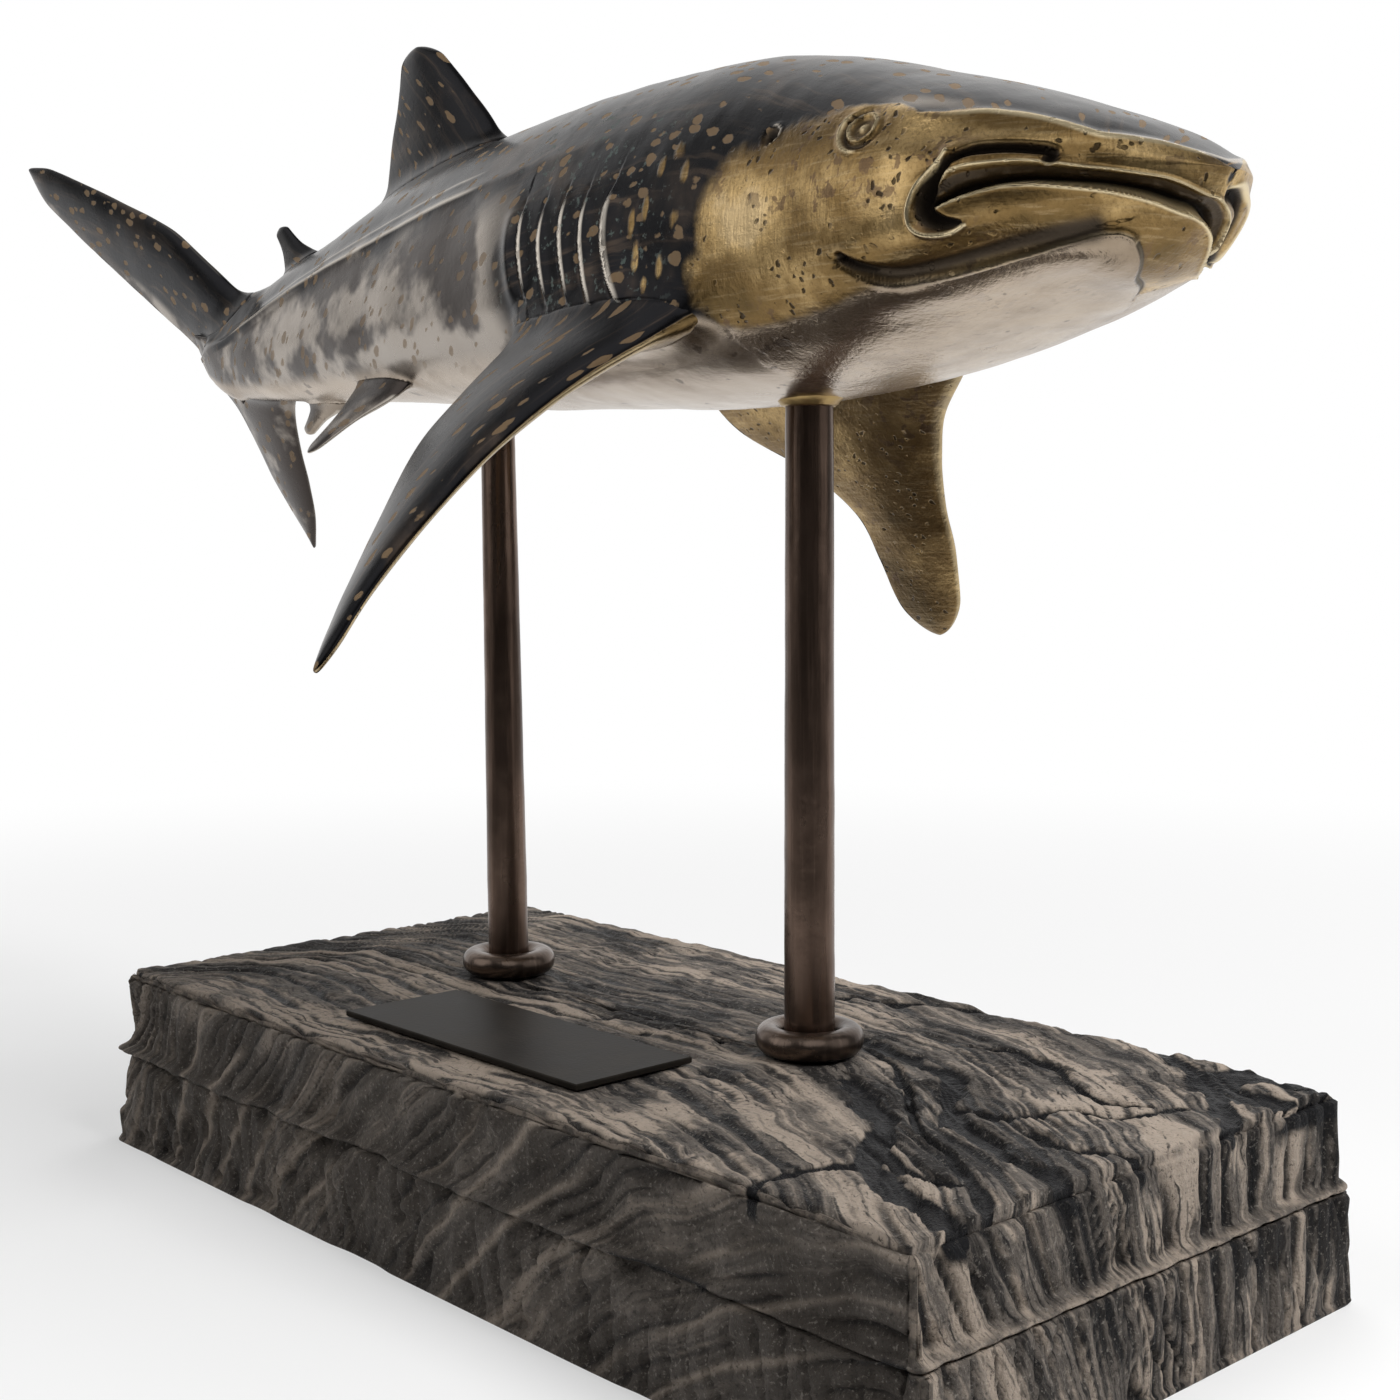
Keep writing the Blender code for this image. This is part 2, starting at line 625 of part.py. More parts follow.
def foot_ring(name, front, paint):
    foot_x, top_x, foot_r, top_r, belly, top = rod_facts(front)
    inner = foot_r + GAP
    outer = RING_DIA / 2
    low = BASE_HEIGHT + GAP
    high = low + RING_HEIGHT
    tube = (outer - inner) * 0.5
    middle = (inner + outer) / 2
    loop = [(inner, low), (middle + tube * 0.55, low), (outer - tube * 0.10, low + RING_HEIGHT * 0.18),
            (outer, low + RING_HEIGHT * 0.45), (outer - tube * 0.14, low + RING_HEIGHT * 0.74),
            (outer - tube * 0.55, low + RING_HEIGHT * 0.94), (middle, high),
            (inner + tube * 0.35, low + RING_HEIGHT * 0.95), (inner, low + RING_HEIGHT * 0.86)]
    return hoop(name, loop, foot_x, ROD_Y, 36, paint)


def fixings(label, front, paint_washer, paint_nut):
    x = rod_facts(front)[0]
    hole = STUD_DIA / 2 + GAP
    top = COUNTERBORE_DEPTH - GAP
    low = top - WASHER_THICK
    wide = WASHER_DIA / 2
    hoop(label + "_washer", [(hole, low), (wide, low), (wide, top), (hole, top)], x, ROD_Y, 32, paint_washer)
    top = low - GAP
    low = top - NUT_HEIGHT
    side = NUT_FLATS / 2
    loop = [(hole, low), (side, low), (side, top), (hole, top)]
    hoop(label + "_nut", loop, x, ROD_Y, 24, paint_nut, NUT_FLATS)


def outline(inset):
    """Rounded rectangle round the base, pulled in by the inset at each of its points."""
    steps = np.arange(BASE_STEPS) / BASE_STEPS
    half_x = BASE_LENGTH / 2
    half_y = BASE_WIDTH / 2
    round_r = BASE_CORNER
    flat_x = 2 * (half_x - round_r)
    flat_y = 2 * (half_y - round_r)
    arc = np.pi / 2 * round_r
    ring = 2 * flat_x + 2 * flat_y + 4 * arc
    at = steps * ring
    points = np.zeros((BASE_STEPS, 2))
    normal = np.zeros((BASE_STEPS, 2))
    start = 0.0
    corners = ((half_x - round_r, half_y - round_r), (-half_x + round_r, half_y - round_r),
               (-half_x + round_r, -half_y + round_r), (half_x - round_r, -half_y + round_r))
    sides = (flat_y, flat_x, flat_y, flat_x)
    for k in range(4):
        way = np.pi / 2 * (k + 1)
        face = np.array([np.cos(way - np.pi / 2), np.sin(way - np.pi / 2)])
        run = np.array([np.cos(way), np.sin(way)])
        corner = np.array(corners[k])
        begin = corner - run * sides[k] + face * round_r
        local = at - start
        on_side = (local >= 0) & (local < sides[k])
        points[on_side] = begin + run * local[on_side][:, None]
        normal[on_side] = face
        local = local - sides[k]
        on_arc = (local >= 0) & (local < arc)
        turn = way - np.pi / 2 + local[on_arc] / round_r
        normal[on_arc] = np.stack([np.cos(turn), np.sin(turn)], -1)
        points[on_arc] = corner + round_r * normal[on_arc]
        start = start + sides[k] + arc
    return at, points, normal


def carving(at, z):
    """Depth of the chiselled ridges in the sides, 0 to 1."""
    wave = at / 0.0102 + 0.55 * np.sin(at / 0.023) + 0.35 * np.sin(at / 0.0091 + 2.0) + z / 0.021
    return 0.5 + 0.5 * np.sin(2 * np.pi * wave)


def wear(at):
    """How far the top edge is worn away round the base, 0 to 1."""
    slow = 0.35 + 0.2 * np.sin(at / 0.031 + 1.0) + 0.15 * np.sin(at / 0.0127)
    return np.clip(slow, 0.05, 1)


def corner_wear(at):
    """Extra wear at the corner on the plate's side under the head, where the outline starts."""
    far = np.minimum(at, at[-1] + at[1] - at)
    return np.exp(-(far / CORNER_REACH) ** 2)


def stone(paint):
    at, rim, normal = outline(0)
    high = BASE_HEIGHT
    step = STEP_HEIGHT
    edge = TOP_ROUND
    levels = ((0.0, FOOT_ROUND, 0.0), (FOOT_ROUND, 0.0, 0.0),
              (0.33 * step, 0.0, 1.0), (0.66 * step, 0.0, 1.0),
              (step - 0.6 * STEP_INSET, 0.0, 0.7), (step, STEP_INSET * 0.75, 0.2),
              (step + BEAD_HEIGHT, STEP_INSET * 0.8, 0.2), (step + 1.6 * BEAD_HEIGHT, STEP_INSET, 0.9),
              (0.45 * step + 0.55 * high, STEP_INSET, 1.0), (high - 1.2 * edge, STEP_INSET, 1.0),
              (high - 0.35 * edge, STEP_INSET + 0.35 * edge, 0.6), (high, STEP_INSET + 1.2 * edge, 0.0))
    rows = []
    for z, inset, carve in levels:
        depth = inset + CARVE_DEPTH * carve * carving(at, z)
        lower = 0.0
        if z > high - 2 * edge:
            share = 1.0 if high - z < 0.0001 else 0.6
            depth = depth + 0.5 * edge * wear(at) + CORNER_WEAR * share * corner_wear(at)
            lower = 0.25 * edge * wear(at) * (share < 1.0)
        ring = rim - normal * depth[:, None]
        rows.append(np.stack([ring[:, 0], ring[:, 1], np.full(BASE_STEPS, z) - lower], -1))
    last = rows[-1]
    for share, carved in ((0.965, 1.0), (0.90, 1.0), (0.80, 0.0)):
        ring = last[:, :2] * share
        tool = 0.5 + 0.5 * np.sin(ring[:, 0] / 0.0031 + 2.2 * np.sin(ring[:, 1] / 0.019) + ring[:, 1] / 0.006)
        rows.append(np.stack([ring[:, 0], ring[:, 1], high - TOP_RELIEF * tool * carved], -1))
    made = object_from("stone_base", capped(np.array(rows)), tube_faces(len(rows), BASE_STEPS), paint, 30)
    for front in (True, False):
        x = rod_facts(front)[0]
        hole = STUD_DIA / 2 + GAP
        wide = COUNTERBORE_DIA / 2
        hole_cut = lathe("hole", ((hole, -0.002, x), (hole, high + 0.002, x)), ROD_Y, 24)
        combine(made, hole_cut, "DIFFERENCE")
        bore_cut = lathe("bore", ((wide, -0.002, x), (wide, COUNTERBORE_DEPTH, x)), ROD_Y, 32)
        combine(made, bore_cut, "DIFFERENCE")
    made.data.materials.clear()
    made.data.materials.append(paint)
    finish(made, 30)
    return made


def plate(paint):
    work = bmesh.new()
    bmesh.ops.create_cube(work, size=1.0)
    bmesh.ops.scale(work, verts=work.verts, vec=(PLATE_LENGTH, PLATE_WIDTH, PLATE_THICK))
    bmesh.ops.bevel(work, geom=work.edges[:], offset=0.15 * PLATE_THICK, segments=1, affect="EDGES")
    y = PLATE_FROM_EDGE - BASE_WIDTH / 2
    z = BASE_HEIGHT + GAP + PLATE_THICK / 2
    bmesh.ops.translate(work, verts=work.verts, vec=(PLATE_X, y, z))
    mesh = bpy.data.meshes.new("name_plate")
    work.to_mesh(mesh)
    work.free()
    made = bpy.data.objects.new("name_plate", mesh)
    bpy.context.scene.collection.objects.link(made)
    mesh.materials.append(paint)
    finish(made, 30)
    return made


def main():
    """Build every piece."""
    clear_scene()
    shark(material("patinated_bronze", (0.16, 0.12, 0.08), 1.0, 0.33))
    stone(material("carved_stone", (0.20, 0.18, 0.16), 0.0, 0.7))
    rod("front_rod", True, material("front_rod_bronze", (0.12, 0.08, 0.06), 1.0, 0.38))
    rod("rear_rod", False, material("rear_rod_bronze", (0.12, 0.08, 0.06), 1.0, 0.38))
    foot_ring("front_ring", True, material("front_ring_bronze", (0.09, 0.06, 0.05), 1.0, 0.4))
    foot_ring("rear_ring", False, material("rear_ring_bronze", (0.09, 0.06, 0.05), 1.0, 0.4))
    plate(material("plate_dark_bronze", (0.03, 0.026, 0.022), 1.0, 0.45))
    for label, front in (("front", True), ("rear", False)):
        fixings(label, front, material(label + "_washer_steel", (0.5, 0.5, 0.5), 1.0, 0.4),
                material(label + "_nut_steel", (0.45, 0.45, 0.45), 1.0, 0.4))


main()
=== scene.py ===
"""Bronze whale shark over a carved stone base: the looks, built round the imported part.

World frame: metres, +Z up, origin at the middle of the base's underside, +X toward the shark's head.
The body, fins and stone follow the same formulas as the solids, at a finer grid and with their
surface detail. Lengths written in millimetres are multiplied by MM.
"""

import bpy
import numpy as np
from bpy.props import FloatProperty, FloatVectorProperty, IntProperty, PointerProperty
from mathutils import Matrix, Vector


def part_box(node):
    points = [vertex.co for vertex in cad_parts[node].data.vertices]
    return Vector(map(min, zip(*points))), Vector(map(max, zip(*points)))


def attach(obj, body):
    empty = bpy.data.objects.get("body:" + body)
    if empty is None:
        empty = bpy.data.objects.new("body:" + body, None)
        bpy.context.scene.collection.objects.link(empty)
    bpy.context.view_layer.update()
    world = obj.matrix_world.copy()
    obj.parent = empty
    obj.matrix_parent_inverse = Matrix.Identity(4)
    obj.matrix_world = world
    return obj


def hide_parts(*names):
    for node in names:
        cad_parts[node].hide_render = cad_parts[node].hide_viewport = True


bl_info = {
    "name": "Shark figurine",
    "version": (1, 0, 0),
    "blender": (4, 5, 0),
    "location": "3D View > Sidebar > Figurine",
    "description": "Builds a bronze whale shark on two rods over a carved stone base",
    "category": "Add Mesh",
}

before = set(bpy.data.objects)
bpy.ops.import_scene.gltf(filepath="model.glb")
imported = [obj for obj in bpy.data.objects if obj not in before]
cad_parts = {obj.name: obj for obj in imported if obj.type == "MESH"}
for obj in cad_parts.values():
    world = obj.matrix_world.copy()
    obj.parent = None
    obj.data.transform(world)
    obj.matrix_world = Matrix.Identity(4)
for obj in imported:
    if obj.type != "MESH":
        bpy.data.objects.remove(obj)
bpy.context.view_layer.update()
MM = 0.001

# Shark body, the same driving sizes as the solids
BODY_Y = 0.0034
SNOUT_X = 0.1344
BODY_LENGTH = 0.3244
AXIS_Z = 0.192
BODY_HALF_WIDTH = 0.0352
BODY_RISE = 0.0453
BODY_DROP = 0.0254
SNOUT_PLAN_LENGTH = 0.0428
SNOUT_SIDE_LENGTH = 0.0168
SNOUT_RAKE = 0.48
HEAD_LIFT = 0.0070
HEAD_END = 0.285              # share of the body's length where the head piece meets the trunk piece

# Share of the length, then half width, rise and drop as shares of their largest values
BODY_SHAPE = (
    (0.000, 0.720, 0.195, 0.400), (0.050, 0.965, 0.367, 0.345), (0.120, 1.030, 0.585, 0.570),
    (0.155, 1.035, 0.662, 0.695), (0.210, 1.010, 0.784, 0.834), (0.280, 0.995, 0.890, 0.933),
    (0.360, 0.965, 0.920, 0.954), (0.420, 0.920, 0.925, 0.915), (0.487, 0.850, 0.908, 0.873),
    (0.542, 0.775, 0.885, 0.845), (0.588, 0.705, 0.855, 0.790), (0.658, 0.600, 0.790, 0.710),
    (0.740, 0.500, 0.673, 0.640), (0.786, 0.440, 0.585, 0.610), (0.853, 0.350, 0.475, 0.560),
    (0.908, 0.280, 0.364, 0.500), (0.951, 0.200, 0.254, 0.420), (1.000, 0.100, 0.150, 0.260),
)
BODY_SQUARE = ((0.0, 2.3), (0.2, 2.35), (0.45, 2.1), (0.75, 1.85), (1.0, 1.7))
RIDGE_LINE = ((0.20, 0.66), (0.40, 0.62), (0.54, 0.58), (0.69, 0.52), (0.82, 0.46),
              (0.914, 0.26), (1.0, 0.05))
RIDGE_OUT = ((0.20, 0.0), (0.34, 0.0001), (0.50, 0.0006), (0.70, 0.0011), (0.90, 0.0018), (1.0, 0.0014))

# Lines on the right side of the head: share of the length, turn round the section.
# Turn 1 is the back, 2 the right side, 3 the belly. Lines that reach the middle end at turn 3.
FOLD_LINE = ((0.0955, 1.905), (0.0898, 1.876), (0.0838, 1.846), (0.0755, 1.824), (0.0675, 1.812),
             (0.0578, 1.813), (0.0530, 1.822), (0.0506, 1.845), (0.0503, 1.880), (0.0508, 1.915))
# The lips go on past the middle: the left half of the mouth hangs lower at the front, as the
# photograph's right edge shows, and climbs again to a corner like the right one
UPPER_LIP = ((0.0990, 1.990), (0.0937, 1.953), (0.0879, 1.937), (0.0758, 1.928), (0.0633, 1.925),
             (0.0514, 1.940), (0.0401, 1.975), (0.0301, 2.003), (0.0203, 2.033), (0.0120, 2.080),
             (0.0060, 2.200), (0.0024, 2.450), (0.0010, 2.833), (0.0014, 3.150), (0.0030, 3.363),
             (0.0067, 3.450), (0.0108, 3.415), (0.0164, 3.390), (0.0246, 3.395), (0.0420, 3.470),
             (0.0600, 3.620), (0.0740, 3.840), (0.0879, 4.030), (0.0990, 4.010))
LOWER_LIP = ((0.0990, 2.082), (0.0904, 2.063), (0.0806, 2.047), (0.0695, 2.035), (0.0573, 2.040),
             (0.0435, 2.070), (0.0288, 2.120), (0.0157, 2.233), (0.0086, 2.420), (0.0053, 2.650),
             (0.0050, 2.942), (0.0077, 3.147), (0.0129, 3.245), (0.0224, 3.293), (0.0420, 3.370),
             (0.0620, 3.500), (0.0780, 3.720), (0.0904, 3.900), (0.0990, 3.918))
FAR_GROOVE = ((0.0010, 3.450), (0.0036, 3.680), (0.0080, 3.735), (0.0120, 3.640), (0.0169, 3.520),
              (0.0242, 3.445), (0.0362, 3.440), (0.0520, 3.520))
FAR_RIM = ((0.0006, 3.300), (0.0017, 3.792), (0.0106, 3.880), (0.0190, 3.850), (0.0215, 3.713),
           (0.0266, 3.580), (0.0394, 3.520))
LOOP_RIM = ((0.0945, 1.853), (0.0988, 1.903), (0.1039, 1.943), (0.1090, 1.980), (0.1125, 2.020),
            (0.1142, 2.087), (0.1134, 2.147), (0.1099, 2.190), (0.1022, 2.227), (0.0937, 2.240),
            (0.0860, 2.215))
RECESS = ((0.0935, 1.903), (0.0990, 1.950), (0.1035, 1.998), (0.1056, 2.052), (0.1045, 2.118),
          (0.0985, 2.172), (0.0885, 2.200))
JAW_LINE = ((0.1617, 2.183), (0.1551, 2.240), (0.1439, 2.317), (0.1320, 2.375), (0.1142, 2.410),
            (0.0971, 2.430), (0.0806, 2.440), (0.0641, 2.430), (0.0478, 2.400), (0.0353, 2.375))
THROAT_LINE = ((0.1627, 2.215), (0.1495, 2.330), (0.1375, 2.400), (0.1204, 2.445), (0.1039, 2.475),
               (0.0838, 2.500), (0.0641, 2.495), (0.0449, 2.445), (0.0320, 2.412), (0.0265, 2.427),
               (0.0235, 2.480), (0.0225, 2.570), (0.0242, 2.707), (0.0285, 2.808), (0.0390, 2.930),
               (0.0500, 3.030), (0.0600, 3.090), (0.0720, 3.140))
BROW_LINE = ((0.1551, 1.600), (0.1320, 1.617), (0.1151, 1.650), (0.0996, 1.633), (0.0879, 1.590),
             (0.0742, 1.570), (0.0587, 1.580), (0.0478, 1.615), (0.0401, 1.630), (0.0327, 1.567),
             (0.0245, 1.467), (0.0152, 1.347), (0.0085, 1.117), (0.0070, 1.000))
# Turn of the brass's upper edge, which follows the brow, and the share of the length where it ends
GOLD_TOP = ((0.0, 1.20), (0.015, 1.34), (0.030, 1.53), (0.040, 1.605), (0.048, 1.59), (0.059, 1.555),
            (0.074, 1.545), (0.088, 1.565), (0.100, 1.605), (0.115, 1.625), (0.132, 1.595),
            (0.155, 1.59), (0.190, 1.67), (0.220, 1.74), (0.250, 1.80), (0.275, 1.90))
GOLD_REAR = 0.272
GILL_TOPS = ((0.3470, 1.780), (0.3730, 1.780), (0.3960, 1.760), (0.4190, 1.780), (0.4440, 1.760))
GILL_BOWS = (0.0080, 0.0055, 0.0035, 0.0030, 0.0020)
GILL_FEET = ((0.3280, 2.180), (0.3570, 2.170), (0.3850, 2.100), (0.4090, 2.085), (0.4350, 2.040))
# Turn of the belly's pale edge behind the throat
BELLY_EDGE = ((0.15, 2.375), (0.18, 2.380), (0.217, 2.385), (0.2555, 2.335), (0.27, 2.265), (0.30, 2.235),
              (0.36, 2.28), (0.45, 2.36), (0.70, 2.45), (1.0, 2.60))
# Painted light and shade of the brass and the flank: lighter places are painted highlights and reflections,
# darker places are painted shade. Columns: length share, turn, their reach in both, strength
PAINTED_LIGHT_AND_SHADE = ((0.248, 1.92, 0.030, 0.14, 1.0), (0.205, 1.95, 0.030, 0.09, 0.35),
         (0.200, 1.73, 0.045, 0.09, -1.1), (0.240, 1.79, 0.030, 0.07, -1.0),
         (0.150, 1.82, 0.020, 0.06, -0.5), (0.258, 2.22, 0.030, 0.11, -1.0), (0.225, 2.28, 0.030, 0.07, -0.5),
         (0.070, 1.72, 0.045, 0.05, 0.8), (0.075, 1.87, 0.025, 0.03, -0.7), (0.060, 2.16, 0.030, 0.06, 0.4),
         (0.120, 2.28, 0.035, 0.05, -0.8), (0.030, 2.30, 0.015, 0.09, 0.5), (0.050, 2.31, 0.014, 0.07, -0.6),
         (0.122, 2.06, 0.010, 0.20, 0.5), (0.487, 1.93, 0.014, 0.26, 1.4), (0.545, 1.80, 0.040, 0.20, -1.2),
         (0.640, 1.92, 0.045, 0.13, 0.9), (0.720, 1.72, 0.050, 0.10, -0.9), (0.800, 2.02, 0.045, 0.22, 1.0),
         (0.600, 2.30, 0.110, 0.12, 0.9), (0.700, 2.18, 0.035, 0.10, -0.9), (0.900, 1.90, 0.040, 0.40, -0.9),
         (0.122, 1.55, 0.024, 0.045, 1.5))
# Upright brassy spots between the head's brass and the first gill
BORDER_SPOTS = ((0.284, 1.79), (0.288, 1.91), (0.299, 2.02), (0.315, 1.87), (0.326, 1.90), (0.312, 2.08),
                (0.293, 1.72), (0.306, 1.76), (0.321, 1.99))
EYE_PLACE = (0.1514, 1.710)
SPIRACLE_PLACE = (0.2200, 1.727)

# Fins, the same driving sizes and outlines as the solids
PECTORAL_ROOT = (0.0220, 0.0305, 0.1840)
PECTORAL_SPAN = 0.0830
PECTORAL_DROOP = 50.0
PECTORAL_CHORD = 0.0520
PECTORAL_THICK = 0.0076
DORSAL_X = -0.0760
DORSAL_HEIGHT = 0.0320
DORSAL_CHORD = 0.0500
DORSAL_THICK = 0.0074
SECOND_DORSAL_X = -0.1430
SECOND_DORSAL_HEIGHT = 0.0140
SECOND_DORSAL_CHORD = 0.0170
ANAL_X = -0.1320
ANAL_HEIGHT = 0.0110
ANAL_CHORD = 0.0150
PELVIC_ROOT = (-0.0860, 0.0130, 0.1790)
PELVIC_SPAN = 0.0240
PELVIC_CHORD = 0.0230
TAIL_X = -0.1800
TAIL_UPPER_SPAN = 0.1100
TAIL_LOWER_SPAN = 0.0620
TAIL_SWEEP_UP = 50.0
TAIL_SWEEP_LOW = 12.0
TAIL_ROLL_UP = 16.0
TAIL_ROLL_LOW = 32.0
TAIL_CHORD = 0.1000
TAIL_THICK = 0.0060
SMALL_FIN_THICK = 0.0030
NEAR_PECTORAL = ((-0.14, 0.62, -0.56), (0.00, 0.52, -0.60), (0.10, 0.28, -0.68), (0.20, 0.03, -0.77),
                 (0.30, -0.15, -0.85), (0.40, -0.28, -0.87), (0.55, -0.41, -0.84), (0.75, -0.53, -0.78),
                 (1.00, -0.56, -0.66))
FAR_PECTORAL = ((-0.14, 0.66, -0.80), (0.00, 0.62, -0.92), (0.12, 0.52, -0.96), (0.26, 0.29, -0.88),
                (0.40, 0.15, -0.62), (0.56, 0.04, -0.46), (0.72, -0.04, -0.46), (0.86, -0.13, -0.48),
                (1.00, -0.24, -0.46))
DORSAL = ((-0.25, 0.60, -0.60), (0.00, 0.50, -0.55), (0.14, 0.42, -0.53), (0.36, 0.30, -0.50),
          (0.60, 0.14, -0.45), (0.83, -0.02, -0.42), (1.00, -0.15, -0.40))
SMALL_DORSAL = ((-0.30, 0.55, -0.55), (0.0, 0.50, -0.55), (0.5, 0.05, -0.50), (1.0, -0.30, -0.62))
PELVIC = ((-0.30, 0.55, -0.50), (0.0, 0.50, -0.50), (0.5, 0.05, -0.42), (1.0, -0.30, -0.48))
UPPER_LOBE = ((-0.06, 0.250, -0.100), (0.00, 0.225, -0.110), (0.15, 0.210, -0.078), (0.31, 0.200, -0.089),
              (0.55, 0.125, -0.110), (0.78, 0.042, -0.125), (0.93, -0.018, -0.125), (1.00, -0.050, -0.105))
LOWER_LOBE = ((-0.10, 0.300, -0.150), (0.00, 0.260, -0.160), (0.14, 0.220, -0.135), (0.23, 0.190, -0.097),
              (0.43, 0.145, -0.070), (0.62, 0.115, -0.060), (0.79, 0.080, -0.037), (0.92, 0.038, -0.015),
              (1.00, 0.015, -0.008))

# Base and mount. A rod is its foot's x, foot radius, top radius and how far its top leans.
ROD_Y = BODY_Y
FRONT_ROD = (0.0410, 0.0051, 0.0047, 0.0)
REAR_ROD = (-0.0570, 0.00475, 0.00395, 0.0024)
STUD_RADIUS = 0.004
GAP = 0.3 * MM                # play between two pieces that meet
BASE_CORNER = 0.006
STEP_HEIGHT = 0.0209
STEP_INSET = 0.0022
TOP_ROUND = 0.0032
CORNER_WEAR = 0.0060
CORNER_REACH = 0.0160
STONE_LOW, STONE_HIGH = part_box("stone_base")
BASE_HEIGHT = STONE_HIGH.z
HALF_X = (STONE_HIGH[0] - STONE_LOW[0]) / 2
HALF_Y = (STONE_HIGH[1] - STONE_LOW[1]) / 2

# Camera worked out from the photograph, for a picture 1400 pixels wide
CAMERA_PLACE = (0.307007, -0.268914, 0.141823)
CAMERA_YAW = 137.832
CAMERA_PITCH = -3.5546
CAMERA_ROLL = -0.227
PICTURE_SIDE = 1400.0
FOCAL_PIXELS = 1959.13
CENTRE_PIXEL = (689.73, 659.84)
SENSOR = 36.0


def smooth(table, column, at):
    """Smooth cubic through the rows of a small table, read at an array of places."""
    rows = np.array(table, dtype=float)
    x = rows[:, 0]
    y = rows[:, column]
    slope = np.gradient(y, x)
    at = np.clip(np.asarray(at, dtype=float), x[0], x[-1])
    i = np.clip(np.searchsorted(x, at) - 1, 0, len(x) - 2)
    h = x[i + 1] - x[i]
    t = (at - x[i]) / h
    a = (1 + 2 * t) * (1 - t) ** 2 * y[i] + t * (1 - t) ** 2 * h * slope[i]
    b = t * t * (3 - 2 * t) * y[i + 1] + t * t * (t - 1) * h * slope[i + 1]
    return a + b


def fade(value, low, high):
    """0 below low, 1 above high and the curve 3t2 - 2t3 between; low may be the larger."""
    t = np.clip((value - low) / (high - low), 0, 1)
    return t * t * (3 - 2 * t)


def lumps(points, size, seed):
    """Value noise from -1 to 1: random numbers on a cubic lattice of that size, blended smoothly."""
    numbers = np.random.RandomState(seed).uniform(-1, 1, 4096)
    q = np.asarray(points) / size
    cell = np.floor(q).astype(np.int64)
    t = q - cell
    t = t * t * (3 - 2 * t)
    total = np.zeros(q.shape[:-1])
    for i in (0, 1):
        for j in (0, 1):
            for k in (0, 1):
                share = (t[..., 0] if i else 1 - t[..., 0]) * (t[..., 1] if j else 1 - t[..., 1])
                share = share * (t[..., 2] if k else 1 - t[..., 2])
                key = (cell[..., 0] + i) * 73856093 ^ (cell[..., 1] + j) * 19349663
                key = key ^ (cell[..., 2] + k) * 83492791
                total += share * numbers[key % 4096]
    return total


def rough(points, size, seed, octaves=3, gain=0.5):
    """Sum of noises, each half the size of the one before and gain times as strong."""
    total = 0
    for step in range(octaves):
        total = total + gain ** step * lumps(points, size / 2 ** step, seed + step)
    return total


def even(path, count, density=None):
    """Shares from 0 to 1 that cut a path into count steps of equal length, or of equal weight."""
    step = np.linalg.norm(np.diff(path, axis=0), axis=1)
    if density is not None:
        step = step * 0.5 * (density[1:] + density[:-1])
    run = np.concatenate([[0], np.cumsum(step)])
    return np.interp(np.linspace(0, run[-1], count), run, np.linspace(0, 1, len(path)))


def grid_normals(points, around):
    """Outward normals of a grid: the cross product of its two directions at each point."""
    if around:
        wide = np.roll(points, -1, 1) - np.roll(points, 1, 1)
    else:
        wide = np.gradient(points, axis=1)
    long = np.gradient(points, axis=0)
    normal = np.cross(long, wide)
    return normal / np.maximum(np.linalg.norm(normal, axis=2), 1e-12)[:, :, None]


